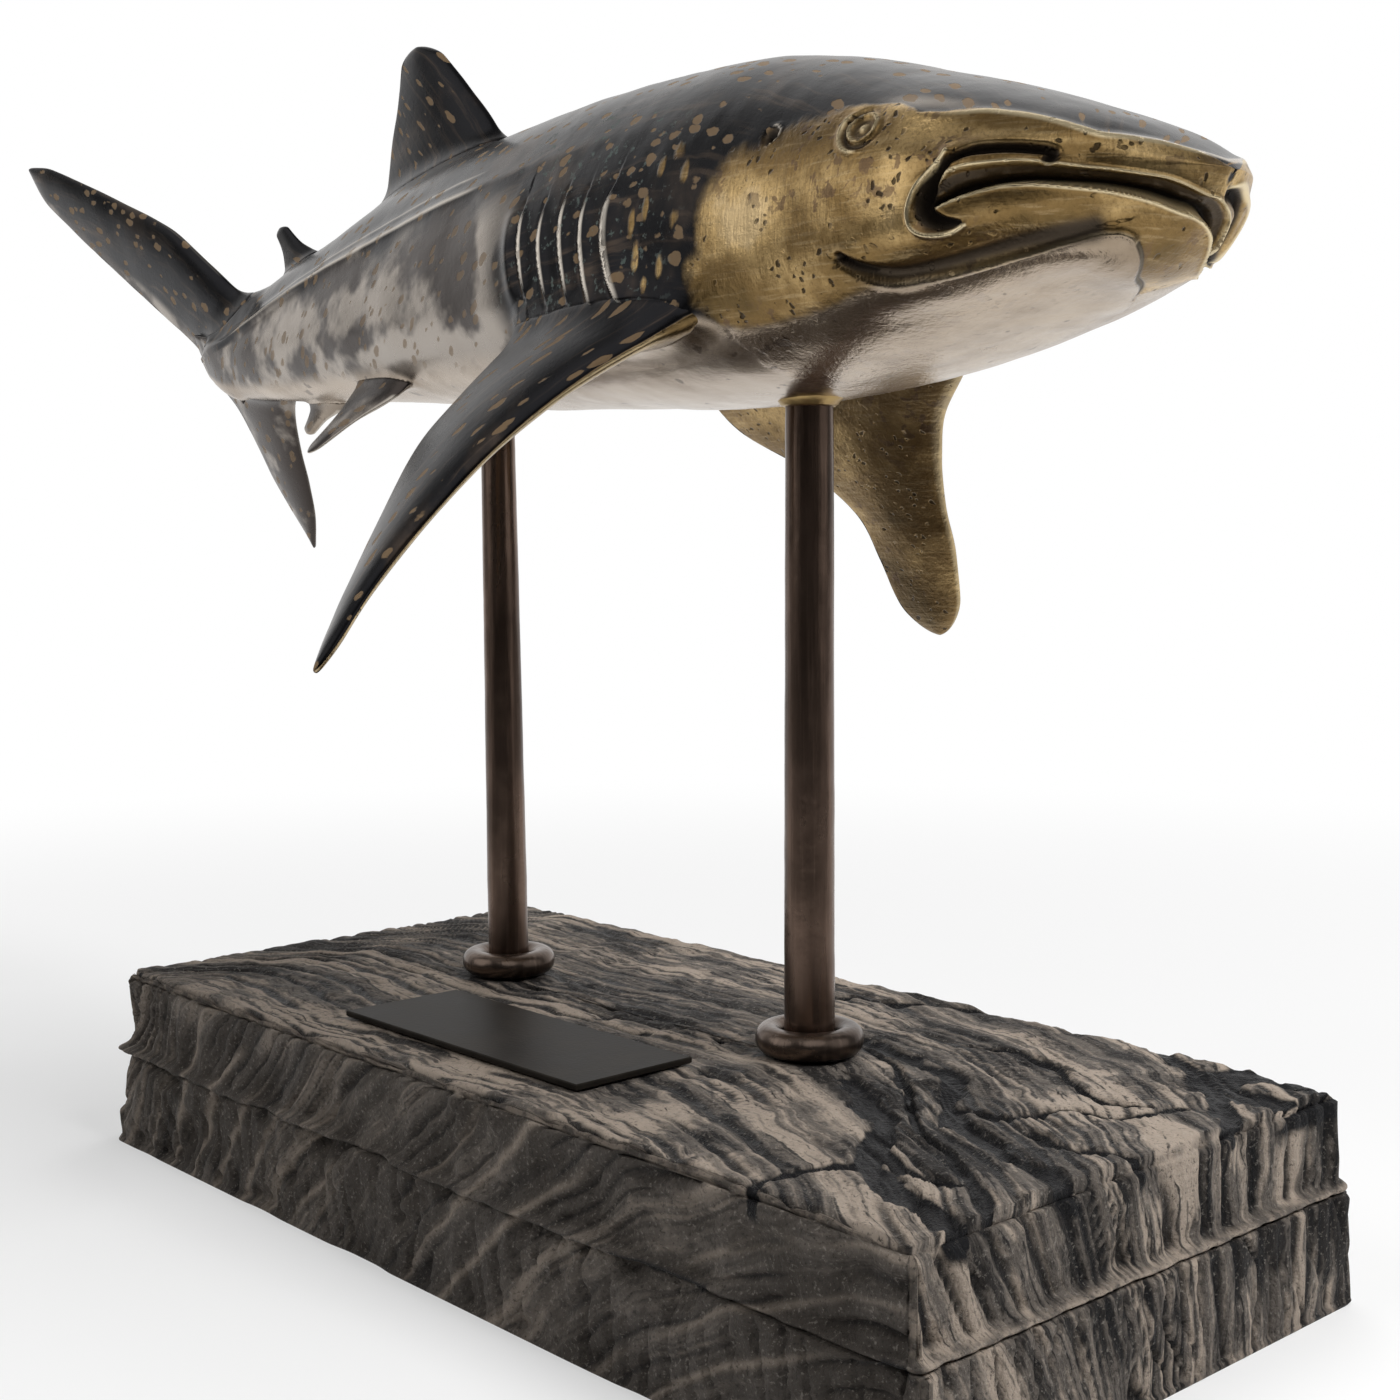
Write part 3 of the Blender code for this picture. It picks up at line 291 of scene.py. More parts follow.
def grid_object(name, points, paint, around=True, caps=(False, False), normals=None, extra=None, uv=None):
    """Mesh of a grid of points, rows by columns, its columns joined round where around is set.

    caps closes the first and last row with a fan round its middle. extra holds one number for each
    point under a name, which the material reads. uv is a rows by columns by 2 array.
    """
    rows, columns = points.shape[:2]
    r, c = np.meshgrid(np.arange(rows - 1), np.arange(columns if around else columns - 1), indexing="ij")
    n = (c + 1) % columns
    quads = np.stack([r * columns + c, (r + 1) * columns + c, (r + 1) * columns + n, r * columns + n], -1)
    quads = quads.reshape(-1, 4)
    flat = points.reshape(-1, 3)
    fans = []
    for closed, row in zip(caps, (0, rows - 1)):
        if closed:
            middle = len(flat)
            flat = np.concatenate([flat, points[row].mean(0)[None]])
            ring = row * columns + np.arange(columns)
            after = row * columns + (np.arange(columns) + 1) % columns
            order = (ring, after) if row == 0 else (after, ring)
            fans.append(np.stack([order[0], order[1], np.full(columns, middle)], -1))
    fans = np.concatenate(fans) if fans else np.zeros((0, 3), int)
    mesh = bpy.data.meshes.new(name)
    mesh.vertices.add(len(flat))
    mesh.vertices.foreach_set("co", flat.astype(np.float32).ravel())
    corners = np.concatenate([quads.ravel(), fans.ravel()]).astype(np.int32)
    totals = np.concatenate([np.full(len(quads), 4), np.full(len(fans), 3)]).astype(np.int32)
    mesh.loops.add(len(corners))
    mesh.loops.foreach_set("vertex_index", corners)
    mesh.polygons.add(len(totals))
    mesh.polygons.foreach_set("loop_start", np.concatenate([[0], np.cumsum(totals)[:-1]]).astype(np.int32))
    mesh.update(calc_edges=True)
    mesh.validate()
    mesh.polygons.foreach_set("use_smooth", np.ones(len(totals), bool))
    for key, values in (extra or {}).items():
        full = np.zeros(len(flat))
        full[:rows * columns] = np.asarray(values).ravel()
        full[rows * columns:] = full[rows * columns - 1]
        mesh.attributes.new(key, "FLOAT", "POINT").data.foreach_set("value", full.astype(np.float32))
    if uv is not None:
        wrap = np.concatenate([c.ravel()[:, None], c.ravel()[:, None], c.ravel()[:, None] + 1,
                               c.ravel()[:, None] + 1], 1)
        closing = uv[:, -1:] + (uv[:, -1:] - uv[:, -2:-1])
        wide = np.concatenate([uv, closing], 1)
        row = np.stack([r, r + 1, r + 1, r], -1).reshape(-1, 4)
        corner_uv = wide[row, wrap].reshape(-1, 2)
        corner_uv = np.concatenate([corner_uv, np.zeros((len(fans) * 3, 2)) + uv[0, 0]])
        layer = mesh.uv_layers.new(name="skin")
        layer.data.foreach_set("uv", corner_uv.astype(np.float32).ravel())
    if normals is not None:
        full = np.zeros((len(flat), 3))
        full[:rows * columns] = normals.reshape(-1, 3)
        for extra_point in range(rows * columns, len(flat)):
            full[extra_point] = normals[0 if caps[0] and extra_point == rows * columns else -1].mean(0)
        mesh.normals_split_custom_set_from_vertices(full.astype(np.float32))
    mesh.materials.append(paint)
    made = bpy.data.objects.new(name, mesh)
    bpy.context.scene.collection.objects.link(made)
    return made


def lathe_object(name, profile, x_of, y, sides, paint, wobble=0.0, seed=0):
    """Profile of (radius, height) turned about an upright axis whose x is x_of(height)."""
    profile = np.array(profile)
    turn = np.arange(sides) * 2 * np.pi / sides
    x = x_of(profile[:, 1])
    points = np.stack([x[:, None] + profile[:, :1] * np.cos(turn), y + profile[:, :1] * np.sin(turn),
                       np.repeat(profile[:, 1:], sides, 1)], -1)
    if wobble:
        out = points - np.stack([x, np.full(len(x), y), profile[:, 1]], -1)[:, None]
        out = out / np.maximum(np.linalg.norm(out, axis=2), 1e-9)[:, :, None]
        points = points - out * (wobble * (0.5 + 0.5 * rough(points, 9 * MM, seed)))[:, :, None]
    return grid_object(name, points[::-1], paint, caps=(True, True))


def body_measures(f):
    """Half width, rise above the axis, drop below it and axis height at share f of the length."""
    plan = np.clip(1 - f * BODY_LENGTH / SNOUT_PLAN_LENGTH, 0, 1)
    side = np.clip(1 - f * BODY_LENGTH / SNOUT_SIDE_LENGTH, 0, 1)
    end = np.clip((f - 0.97) / 0.03, 0, 1)
    wide = smooth(BODY_SHAPE, 1, f) * BODY_HALF_WIDTH * np.sqrt(1 - plan ** 2) * np.sqrt(1 - 0.96 * end ** 2)
    round_side = np.sqrt(1 - 0.97 * side ** 2) * np.sqrt(1 - 0.96 * end ** 2)
    rise = smooth(BODY_SHAPE, 2, f) * BODY_RISE
    drop = smooth(BODY_SHAPE, 3, f) * BODY_DROP
    lift = HEAD_LIFT * np.clip(1 - f * BODY_LENGTH / (2 * SNOUT_PLAN_LENGTH), 0, 1)
    return wide, (rise - lift) * round_side, (drop + lift) * round_side, AXIS_Z + lift


def skin(f, turn, ridge=1.0):
    """Points on the skin: sections that are superellipses, half upper and half lower, set along +X.

    f runs from the snout to the tail stalk. turn runs 0 to 4 round the section from the left side
    over the back (1), the right side (2) and the belly (3). A crest follows the flank's ridge line.
    """
    f, turn = np.broadcast_arrays(np.asarray(f, dtype=float), np.asarray(turn, dtype=float))
    wide, rise, drop, axis = body_measures(f)
    square = smooth(BODY_SQUARE, 1, f)
    at_ridge = np.arcsin(np.clip(smooth(RIDGE_LINE, 1, f), 0.02, 0.98) ** (square / 2))
    quarter = np.floor(turn).astype(int) % 4
    part = turn - np.floor(turn)
    up = quarter < 2
    climb = np.where(quarter % 2 == 0, part, 1 - part)
    low = at_ridge * climb / 0.4
    high = at_ridge + (np.pi / 2 - at_ridge) * (climb - 0.4) / 0.6
    angle = np.where(up, np.where(climb < 0.4, low, high), climb * np.pi / 2)
    c = np.clip(np.cos(angle), 0, 1) ** (2 / square)
    s = np.clip(np.sin(angle), 0, 1) ** (2 / square)
    crest = np.exp(-(np.abs(climb - 0.4) / 0.05) ** 1.2) * up
    out = ridge * smooth(RIDGE_OUT, 1, f) * crest
    side = np.where((quarter == 0) | (quarter == 3), 1.0, -1.0)
    y = BODY_Y + side * (wide * c + out * 0.9)
    z = axis + np.where(up, rise * s, -drop * s) + out * 0.35
    front = np.clip(1 - f * BODY_LENGTH / SNOUT_PLAN_LENGTH, 0, 1)
    x = SNOUT_X - f * BODY_LENGTH + SNOUT_RAKE * (z - axis) * front ** 2
    return np.stack([x, y, z], -1)


def skin_distance(points):
    """Distance from the skin, less than 0 inside: how far the section's radius share is from 1,
    divided by how fast that share grows."""
    f = (SNOUT_X - points[..., 0]) / BODY_LENGTH
    past = np.clip(f - 1, 0, None) * BODY_LENGTH
    f = np.clip(f, 0.0005, 0.9995)
    wide, rise, drop, axis = body_measures(f)
    n = smooth(BODY_SQUARE, 1, f)
    y = np.abs(points[..., 1] - BODY_Y) / wide
    z = points[..., 2] - axis
    tall = np.where(z > 0, rise, drop)
    z = np.abs(z) / tall
    share = np.maximum(y ** n + z ** n, 1e-9) ** (1 / n)
    slope = np.hypot(y ** (n - 1) * share ** (1 - n) / wide, z ** (n - 1) * share ** (1 - n) / tall)
    away = (share - 1) / np.maximum(slope, 1e-6)
    return np.where(past > 0, np.hypot(np.maximum(away, 0), past), away)


def blade(table, root, span, chord, thick, tilt_tip=0.0, blend=6 * MM):
    """The facts of one fin: outline rows are the share of the span, then front and rear edge as shares
    of the chord. tilt_tip turns the chord line toward the tip; blend is the size of its root fillet."""
    span = np.array(span, dtype=float)
    return {"table": table, "root": np.array(root, dtype=float), "span": span, "chord": chord,
            "length": np.linalg.norm(span), "thick": thick, "tilt_tip": tilt_tip, "blend": blend}


def blade_frame(fin, s):
    """At share s of the span: front and rear place along the chord line, depth, the chord line's
    direction and the direction across the blade."""
    along = fin["span"] / fin["length"]
    front = smooth(fin["table"], 1, s) * fin["chord"]
    rear = smooth(fin["table"], 2, s) * fin["chord"]
    tip = np.sqrt(np.clip(1 - (np.clip(s - 0.88, 0, 1) / 0.12) ** 2, 0.0, 1))
    middle = (front + rear) / 2
    front = middle + (front - middle) * tip
    rear = middle + (rear - middle) * tip
    grow = np.clip(s, 0, 1)
    tilt = fin["tilt_tip"] * grow
    direction = np.stack([np.ones_like(grow), np.zeros_like(grow), tilt], -1)
    direction = direction - (direction @ along)[..., None] * along
    direction = direction / np.linalg.norm(direction, axis=-1)[..., None]
    across = np.cross(direction, along)
    depth = fin["thick"] * (1 - 0.72 * grow ** 0.8) * np.sqrt(np.clip(tip, 0.05, 1))
    return front, rear, depth, direction, across


def lens(u):
    """Half thickness share of a fin section from its front edge (0) to its rear edge (1)."""
    return np.sin(np.pi * np.clip(u, 0, 1) ** 0.72) ** 0.8


def blade_points(fin, rows, columns):
    """Grid on the blade: rows from the root inside the body to the tip, columns round the section."""
    start = fin["table"][0][0]
    s = start + (1 - start) * np.sin(np.linspace(0, 1, rows) * np.pi / 2)
    s[-1] = 0.9996
    round_way = np.arange(columns) * 2 * np.pi / columns
    u = 0.5 - 0.5 * np.cos(round_way)
    face = np.sign(np.sin(round_way)) * (np.abs(np.sin(round_way)) > 1e-9)
    front, rear, depth, direction, across = blade_frame(fin, s)
    place = front[:, None] + (rear - front)[:, None] * u
    proud = 0.5 * depth[:, None] * (lens(u) * face)
    points = fin["root"] + fin["span"] * s[:, None, None] + direction[:, None] * place[:, :, None]
    points = points + across[:, None] * proud[:, :, None]
    return points, s, u, face


def blade_distance(fin, points):
    """Distance from a blade, less than 0 inside: from its section's half thickness, or its edge."""
    along = fin["span"] / fin["length"]
    local = points - fin["root"]
    s = (local @ along) / fin["length"]
    inside = np.clip(s, fin["table"][0][0], 0.9995)
    front, rear, depth, direction, across = blade_frame(fin, inside)
    c = np.sum(local * direction, -1)
    n = np.sum(local * across, -1)
    u = (front - c) / np.maximum(front - rear, 1e-6)
    past_edge = np.clip(np.maximum(-u, u - 1), 0, None) * (front - rear)
    past_tip = np.abs(s - inside) * fin["length"]
    away = np.abs(n) - 0.5 * depth * lens(u)
    outside = np.sqrt(np.maximum(away, 0) ** 2 + past_edge ** 2 + past_tip ** 2)
    return np.where((past_edge > 0) | (past_tip > 0), outside, away)


def rounded_join(own, other, size):
    """How far a surface rises where another comes near: the smooth minimum of two distances."""
    near = np.clip(size - np.abs(own - other), 0, None)
    return near * near / (4 * size)


def swell_to(points, normals, distance_to, size, limit=0.32):
    """Moves points out along their normals to the smooth union with another shape.

    Each of a few steps sets the rise to the smooth minimum's excess at the moved point. Where the other
    shape covers the surface, the rise is held and the point sinks a little, out of sight.
    """
    rise = np.zeros(points.shape[:-1])
    for step in range(5):
        other = distance_to(points + normals * rise[..., None])
        wanted = rounded_join(rise, other, size)
        rise = np.minimum(0.5 * rise + 0.5 * wanted, limit * size)
    hidden = fade(rise - other, 0.05 * size, 0.35 * size)
    return rise - hidden * 0.16 * size


def all_blades():
    """Every fin, at the solids' places."""
    droop = np.radians(PECTORAL_DROOP)
    out = PECTORAL_SPAN * np.cos(droop)
    down = -PECTORAL_SPAN * np.sin(droop)
    x, y, z = PECTORAL_ROOT
    fins = {
        "near_pectoral": blade(NEAR_PECTORAL, (x, BODY_Y - y, z), (0, -out, down), PECTORAL_CHORD,
                               PECTORAL_THICK, 0.25, 7 * MM),
        "far_pectoral": blade(FAR_PECTORAL, (x, BODY_Y + y, z), (0, out, down), PECTORAL_CHORD,
                              PECTORAL_THICK, 0.2, 7 * MM),
    }
    fins["dorsal_fin"] = blade(DORSAL, (DORSAL_X, BODY_Y, back_z(DORSAL_X) - MM), (0, 0, DORSAL_HEIGHT),
                               DORSAL_CHORD, DORSAL_THICK, 0, 6 * MM)
    fins["second_dorsal_fin"] = blade(SMALL_DORSAL, (SECOND_DORSAL_X, BODY_Y, back_z(SECOND_DORSAL_X) - MM),
                                      (-4 * MM, 0, SECOND_DORSAL_HEIGHT), SECOND_DORSAL_CHORD,
                                      SMALL_FIN_THICK, 0, 3 * MM)
    fins["anal_fin"] = blade(SMALL_DORSAL, (ANAL_X, BODY_Y, belly_z(ANAL_X) + MM), (-4 * MM, 0, -ANAL_HEIGHT),
                             ANAL_CHORD, SMALL_FIN_THICK, 0, 2.5 * MM)
    x, y, z = PELVIC_ROOT
    for label, side in (("near_pelvic_fin", -1), ("far_pelvic_fin", 1)):
        span = (-0.3 * PELVIC_SPAN, side * 0.55 * PELVIC_SPAN, -0.78 * PELVIC_SPAN)
        fins[label] = blade(PELVIC, (x, BODY_Y + side * y, z), span, PELVIC_CHORD, SMALL_FIN_THICK, 0, 3 * MM)
    root = (TAIL_X, BODY_Y, AXIS_Z - MM)
    sweep = np.radians(TAIL_SWEEP_UP)
    roll = np.radians(TAIL_ROLL_UP)
    reach = TAIL_UPPER_SPAN * np.cos(sweep)
    span = (-TAIL_UPPER_SPAN * np.sin(sweep), -reach * np.sin(roll), reach * np.cos(roll))
    fins["upper_tail_lobe"] = blade(UPPER_LOBE, root, span, TAIL_CHORD, TAIL_THICK, 0, 6 * MM)
    sweep = np.radians(TAIL_SWEEP_LOW)
    roll = np.radians(TAIL_ROLL_LOW)
    reach = TAIL_LOWER_SPAN * np.cos(sweep)
    span = (-TAIL_LOWER_SPAN * np.sin(sweep), reach * np.sin(roll), -reach * np.cos(roll))
    fins["lower_tail_lobe"] = blade(LOWER_LOBE, root, span, TAIL_CHORD, TAIL_THICK, 0, 6 * MM)
    return fins


def back_z(x):
    wide, rise, drop, axis = body_measures(np.array((SNOUT_X - x) / BODY_LENGTH))
    return float(axis + rise)


def belly_z(x):
    wide, rise, drop, axis = body_measures(np.array((SNOUT_X - x) / BODY_LENGTH))
    return float(axis - drop)


def line_on_skin(table, count=70):
    """Smooth line through the table's places on the skin, cut into even steps. A line that ends at
    the middle of the back or belly goes on a little way on the other side."""
    rows = np.array(table)
    knots = skin(rows[:, 0], rows[:, 1], 0.0)
    if rows[-1, 1] in (1.0, 3.0):
        other = knots[-4:-1][::-1].copy()
        other[:, 1] = 2 * BODY_Y - other[:, 1]
        knots = np.concatenate([knots, other])
    run = np.concatenate([[0], np.cumsum(np.linalg.norm(np.diff(knots, axis=0), axis=1))])
    at = np.linspace(0, run[-1], count)
    return np.stack([smooth(np.stack([run, knots[:, k]], -1), 1, at) for k in range(3)], -1)


def near_line(path, points, normals, reach):
    """For each point within reach of a path: distance, share of the path's length, and offset across
    it, which is more than 0 to the left seen from outside, looking along the path."""
    best = np.full(points.shape[:-1], reach)
    share = np.zeros(points.shape[:-1])
    offset = np.full(points.shape[:-1], reach)
    low = path.min(0) - reach
    high = path.max(0) + reach
    pick = np.all((points > low) & (points < high), -1)
    q = points[pick]
    n = normals[pick]
    b = best[pick]
    sh = share[pick]
    off = offset[pick]
    count = len(path) - 1
    for k in range(count):
        a = path[k]
        d = path[k + 1] - a
        t = np.clip(((q - a) @ d) / (d @ d), 0, 1)
        gap = q - a - t[:, None] * d
        dist = np.linalg.norm(gap, axis=1)
        closer = dist < b
        sign = np.sign(np.sum(np.cross(n, d) * gap, -1))
        b = np.where(closer, dist, b)
        sh = np.where(closer, (k + t) / count, sh)
        off = np.where(closer, dist * np.where(sign == 0, 1, sign), off)
    best[pick] = b
    share[pick] = sh
    offset[pick] = off
    return best, share, offset


def along_share(values, share):
    """Value at a share of a line, from a few values spaced evenly along it."""
    return np.interp(share, np.linspace(0, 1, len(values)), values)


def head_detail(points, normals, right, right_normals, left_share, f):
    """Rise of the skin for the mouth, lips, folds, jaw, throat, brow, eye and spiracle, with the
    shares of painted shade in the hollows and painted highlight on the rims that the finish reads, and
    the throat plate.

    right holds the points brought to the right half, where the lines are. Ridges are bell curves
    across a line. Grooves are bell curves turned inward, of which the deepest counts. The mouth is a
    slope between its two lips that is deepest just above the lower one. The plate is 1 inside the
    throat line, 0 outside it and -1 where the line is too far off to tell.
    """
    rise = np.zeros(f.shape)
    cut = np.zeros(f.shape)
    dark = np.zeros(f.shape)
    painted_highlight = np.zeros(f.shape)
    calm = 1 - left_share * fade(f, 0.085, 0.055)

    def across(table, half, power, share_of, whole):
        where = (points, normals) if whole else (right, right_normals)
        best, share, offset = near_line(line_on_skin(table), *where, 8 * MM)
        return np.exp(-(best / (along_share(half, share) * MM)) ** power) * share_of, share

    # A groove also paints shade in its hollow, as strong as its blackness share
    def groove(table, half, depth, blackness=1.0, flat=2.4, share_of=calm, whole=False):
        nonlocal cut, dark
        bell, share = across(table, half, flat, share_of, whole)
        cut = np.maximum(cut, along_share(depth, share) * MM * bell)
        dark = np.maximum(dark, bell * blackness)

    # A ridge also paints a highlight along its crest, as strong as its shine share
    def ridge(table, half, height, shine=1.0, share_of=calm, whole=False):
        nonlocal rise, painted_highlight
        bell, share = across(table, half, 2, share_of, whole)
        rise = rise + along_share(height, share) * MM * bell
        painted_highlight = np.maximum(painted_highlight, bell * shine)

    best, share, offset = near_line(line_on_skin(THROAT_LINE, 100), points, normals, 12 * MM)
    plate_side = fade(offset, 0.5 * MM, -0.5 * MM)
    rise = rise + 0.6 * MM * plate_side * fade(best, 11 * MM, 3 * MM) * fade(share, 0.0, 0.12)
    known = (best < 11.9 * MM) & (share > 0.004) & (share < 0.996)
    plate = np.where(known, plate_side, -1.0)
    ridge(THROAT_LINE, (0.5, 0.6, 0.6, 0.6, 0.4), (0.1, 0.3, 0.35, 0.3, 0.1), 0.4, 1.0, True)
    groove(JAW_LINE, (1.0, 1.9, 2.1, 2.2, 2.6), (1.5, 1.5, 1.4, 1.1, 0.4), 0.5)
    above_jaw = near_line(line_on_skin(JAW_LINE), right, right_normals, 12 * MM)
    slope = np.exp(-((above_jaw[2] - 3.4 * MM) / (2.4 * MM)) ** 2) * fade(above_jaw[0], 9 * MM, 6 * MM)
    rise = rise - 0.55 * MM * slope * calm * fade(above_jaw[1], 0.0, 0.2)
    groove(JAW_LINE[:3], (0.9, 0.8, 0.6), (2.1, 1.5, 0.3), 0.95)
    groove(THROAT_LINE[11:], (0.5, 0.55, 0.6), (0.2, 0.6, 0.5), 0.55, 2.4, 1.0, True)

    best, share, offset = near_line(line_on_skin(BROW_LINE, 100), right, right_normals, 12 * MM)
    bell = np.exp(-(best / (1.3 * MM)) ** 2)
    rise = rise + 0.45 * MM * bell * fade(share, 0, 0.15)
    under = np.exp(-((np.abs(offset) - 4.5 * MM) / (2.6 * MM)) ** 2) * (offset < 0)
    rise = rise - 0.6 * MM * under * fade(share, 0, 0.2)
    # Painted highlight along the brow's crest
    crest = np.exp(-(offset / (0.9 * MM)) ** 2)
    painted_highlight = np.maximum(painted_highlight, 0.95 * crest * fade(share, 0.1, 0.35))

    groove(FOLD_LINE, (0.6, 1.1, 1.15, 1.0), (1.2, 1.9, 1.9, 1.4), 0.9, 3.2)
    upper_part = UPPER_LIP[:7]
    lower_part = [(at, turn - 0.034) for at, turn in upper_part]
    ridge(lower_part, (0.6, 0.8, 0.9, 0.7), (0.2, 0.35, 0.4, 0.2), 0.12)

    upper = near_line(line_on_skin(UPPER_LIP, 170), points, normals, 12 * MM)
    lower = near_line(line_on_skin(LOWER_LIP, 170), points, normals, 12 * MM)
    below = -upper[2]
    above = lower[2]
    between = (below > 0) & (above > 0) & (upper[0] < 11.9 * MM) & (lower[0] < 11.9 * MM)
    v = np.where(between, below / np.maximum(below + above, 1e-9), 0.0)
    past = np.where((upper[1] < 0.002) | (lower[1] < 0.002) | (upper[1] > 0.998) | (lower[1] > 0.998),
                    np.minimum(upper[0], lower[0]), 0)
    start = fade(past, 2.6 * MM, 1.0 * MM)
    deep = fade(v, 0.0, 0.12) * 0.9 + fade(v, 0.08, 0.78) * 2.3
    deep = deep * fade(v, 1.0, 0.88)
    grit = lumps(points, 1.3 * MM, 7)
    band = np.exp(-((v - 0.5) / 0.13) ** 2) * (0.35 + 0.35 * grit)
    cut = np.maximum(cut, (deep - band) * MM * between * start)
    # Painted shade in the mouth slit, darkest just above the lower lip
    seen_painted_shade = fade(v, 0.02, 0.2) * (0.45 + 0.55 * fade(v, 0.45, 0.8)) * fade(v, 1.0, 0.95)
    dark = np.maximum(dark, between * start * seen_painted_shade)
    ridge(UPPER_LIP, (0.4, 0.45, 0.45, 0.45), (0.4, 0.45, 0.4, 0.35), 0.8, 1.0, True)
    ridge(LOWER_LIP, (0.5, 0.7, 0.7, 0.6), (0.1, 0.5, 0.55, 0.4), 0.95, 1.0, True)
    groove(FAR_GROOVE, (1.2, 1.6, 1.7, 1.4), (1.4, 1.8, 1.8, 0.8), 1.0, 2.4, left_share, True)
    ridge(FAR_RIM, (0.8, 1.0, 1.0, 0.9), (0.3, 0.5, 0.6, 0.3), 0.9, left_share, True)

    groove(RECESS, (0.75, 1.3, 1.75, 1.9, 1.65, 1.2, 0.55), (1.3, 2.3, 2.7, 2.8, 2.6, 2.1, 0.7), 0.95, 3.2)
    ridge(LOOP_RIM, (0.36, 0.40, 0.42, 0.42, 0.4), (0.45, 0.6, 0.65, 0.6, 0.3), 1.0)
    knob = np.linalg.norm(right - skin(0.0948, 1.848, 0.0), axis=-1)
    rise = rise + 0.7 * MM * np.exp(-(knob / (1.0 * MM)) ** 2) * calm

    rise, dark, painted_highlight = eye_detail(right, rise - cut, dark, painted_highlight)
    return rise, dark, painted_highlight, plate


def eye_detail(points, rise, dark, painted_highlight):
    """Eye: a shallow dish with a domed middle, a raised ring and an arc behind and below it, with
    painted shade in the dish and groove and painted highlights on the ring, arc and dome. Spiracle: a
    drop-shaped hollow painted as shade, with a painted highlight on its rear rim. Both are functions of
    the distance and angle from their middle, in the plane of the skin there."""
    out = np.array([0.12, -0.97, 0.25])
    forward = np.array([0.99, 0.12, 0.0])
    upward = np.cross(forward, -out)
    for place, size in ((EYE_PLACE, 2.7 * MM), (SPIRACLE_PLACE, 1.9 * MM)):
        middle = skin(*place, 0.0)
        gap = points - middle
        near = np.linalg.norm(gap, axis=-1) < 12 * MM
        a = gap @ forward
        b = gap @ upward
        r = np.hypot(a, b)
        angle = np.arctan2(b, a)
        if place == EYE_PLACE:
            ring = np.exp(-((r - size) / (0.42 * MM)) ** 2) * (0.75 + 0.25 * np.sin(angle * 2 + 1.0))
            dish = np.exp(-(r / (0.8 * size)) ** 4)
            dome = np.exp(-(r / (0.45 * size)) ** 2)
            arc = np.exp(-((r - 1.75 * size) / (0.5 * MM)) ** 2)
            arc = arc * fade(np.cos(angle - np.radians(205)), 0.1, 0.6)
            groove = np.exp(-((r - 1.38 * size) / (0.55 * MM)) ** 2)
            groove = groove * (0.4 + 0.6 * (np.cos(angle - 3.4) > -0.2))
            rise = rise + near * MM * (0.75 * ring + 0.6 * arc - 0.7 * dish + 0.8 * dome - 0.6 * groove)
            # Painted shade in the eye's dish and groove, painted highlight on its ring, arc and dome
            dark = np.maximum(dark, near * (0.5 * groove + 0.55 * dish * (1 - dome)))
            painted_highlight = np.maximum(painted_highlight, near * (0.9 * ring + 0.8 * arc + 0.7 * dome))
        else:
            drop = r / (size * (0.72 + 0.42 * np.clip(np.cos(angle - np.radians(60)), -0.4, 1)))
            hollow = np.exp(-drop ** 4)
            rim = np.exp(-((drop - 1.25) / 0.16) ** 2) * fade(np.cos(angle), -0.6, 0.5)
            rise = rise + near * MM * (0.35 * rim - 1.3 * hollow)
            # Painted shade in the spiracle's hollow, painted highlight on its rear rim
            dark = np.maximum(dark, near * hollow)
            painted_highlight = np.maximum(painted_highlight, near * 0.9 * rim)
    return rise, dark, painted_highlight


def gill_detail(points, normals):
    """Five gill flaps: the skin climbs gently to each edge and drops steeply behind it."""
    rise = np.zeros(points.shape[:-1])
    dark = np.zeros(points.shape[:-1])
    painted_highlight = np.zeros(points.shape[:-1])
    for k, (top, foot) in enumerate(zip(GILL_TOPS, GILL_FEET)):
        s = np.linspace(0, 1, 7)
        bow = GILL_BOWS[k]
        f = top[0] + (foot[0] - top[0]) * s ** 1.6 + bow * np.sin(np.pi * s) * (1.15 - s)
        turn = top[1] + (foot[1] - top[1]) * s
        best, share, offset = near_line(line_on_skin(np.stack([f, turn], -1)), points, normals, 9 * MM)
        ends = np.sin(np.pi * np.clip(share, 0.02, 0.98)) ** 0.6
        tall = (2.1 if k == 0 else 1.25) * ends * MM
        ahead = np.where(offset > 0, np.exp(-best / (2.6 * MM if k == 0 else 1.7 * MM)), 0)
        behind = np.where(offset <= 0, np.exp(-(best / (0.5 * MM)) ** 2), 0)
        slot = np.where(offset <= 0, np.exp(-((best - 1.0 * MM) / (0.6 * MM)) ** 2), 0)
        inside = best < 8.9 * MM
        rise = rise + inside * tall * (ahead + behind - 0.7 * slot)
        # Painted shade in the slot behind each flap and a painted highlight along its edge
        dark = np.maximum(dark, 0.9 * inside * slot * ends)
        glint = 0.95 * MM if k == 0 else 0.55 * MM
        from_edge = best - np.where(offset > 0, 0.3 * MM, 0)
        painted_highlight = np.maximum(painted_highlight, inside * ends * np.exp(-(from_edge / glint) ** 2))
        if k == 4:
            swell = np.where(offset <= 0, np.exp(-((best - 4.6 * MM) / (2.2 * MM)) ** 2), 0)
            rise = rise + 0.9 * MM * inside * ends * swell
    return rise, dark, painted_highlight


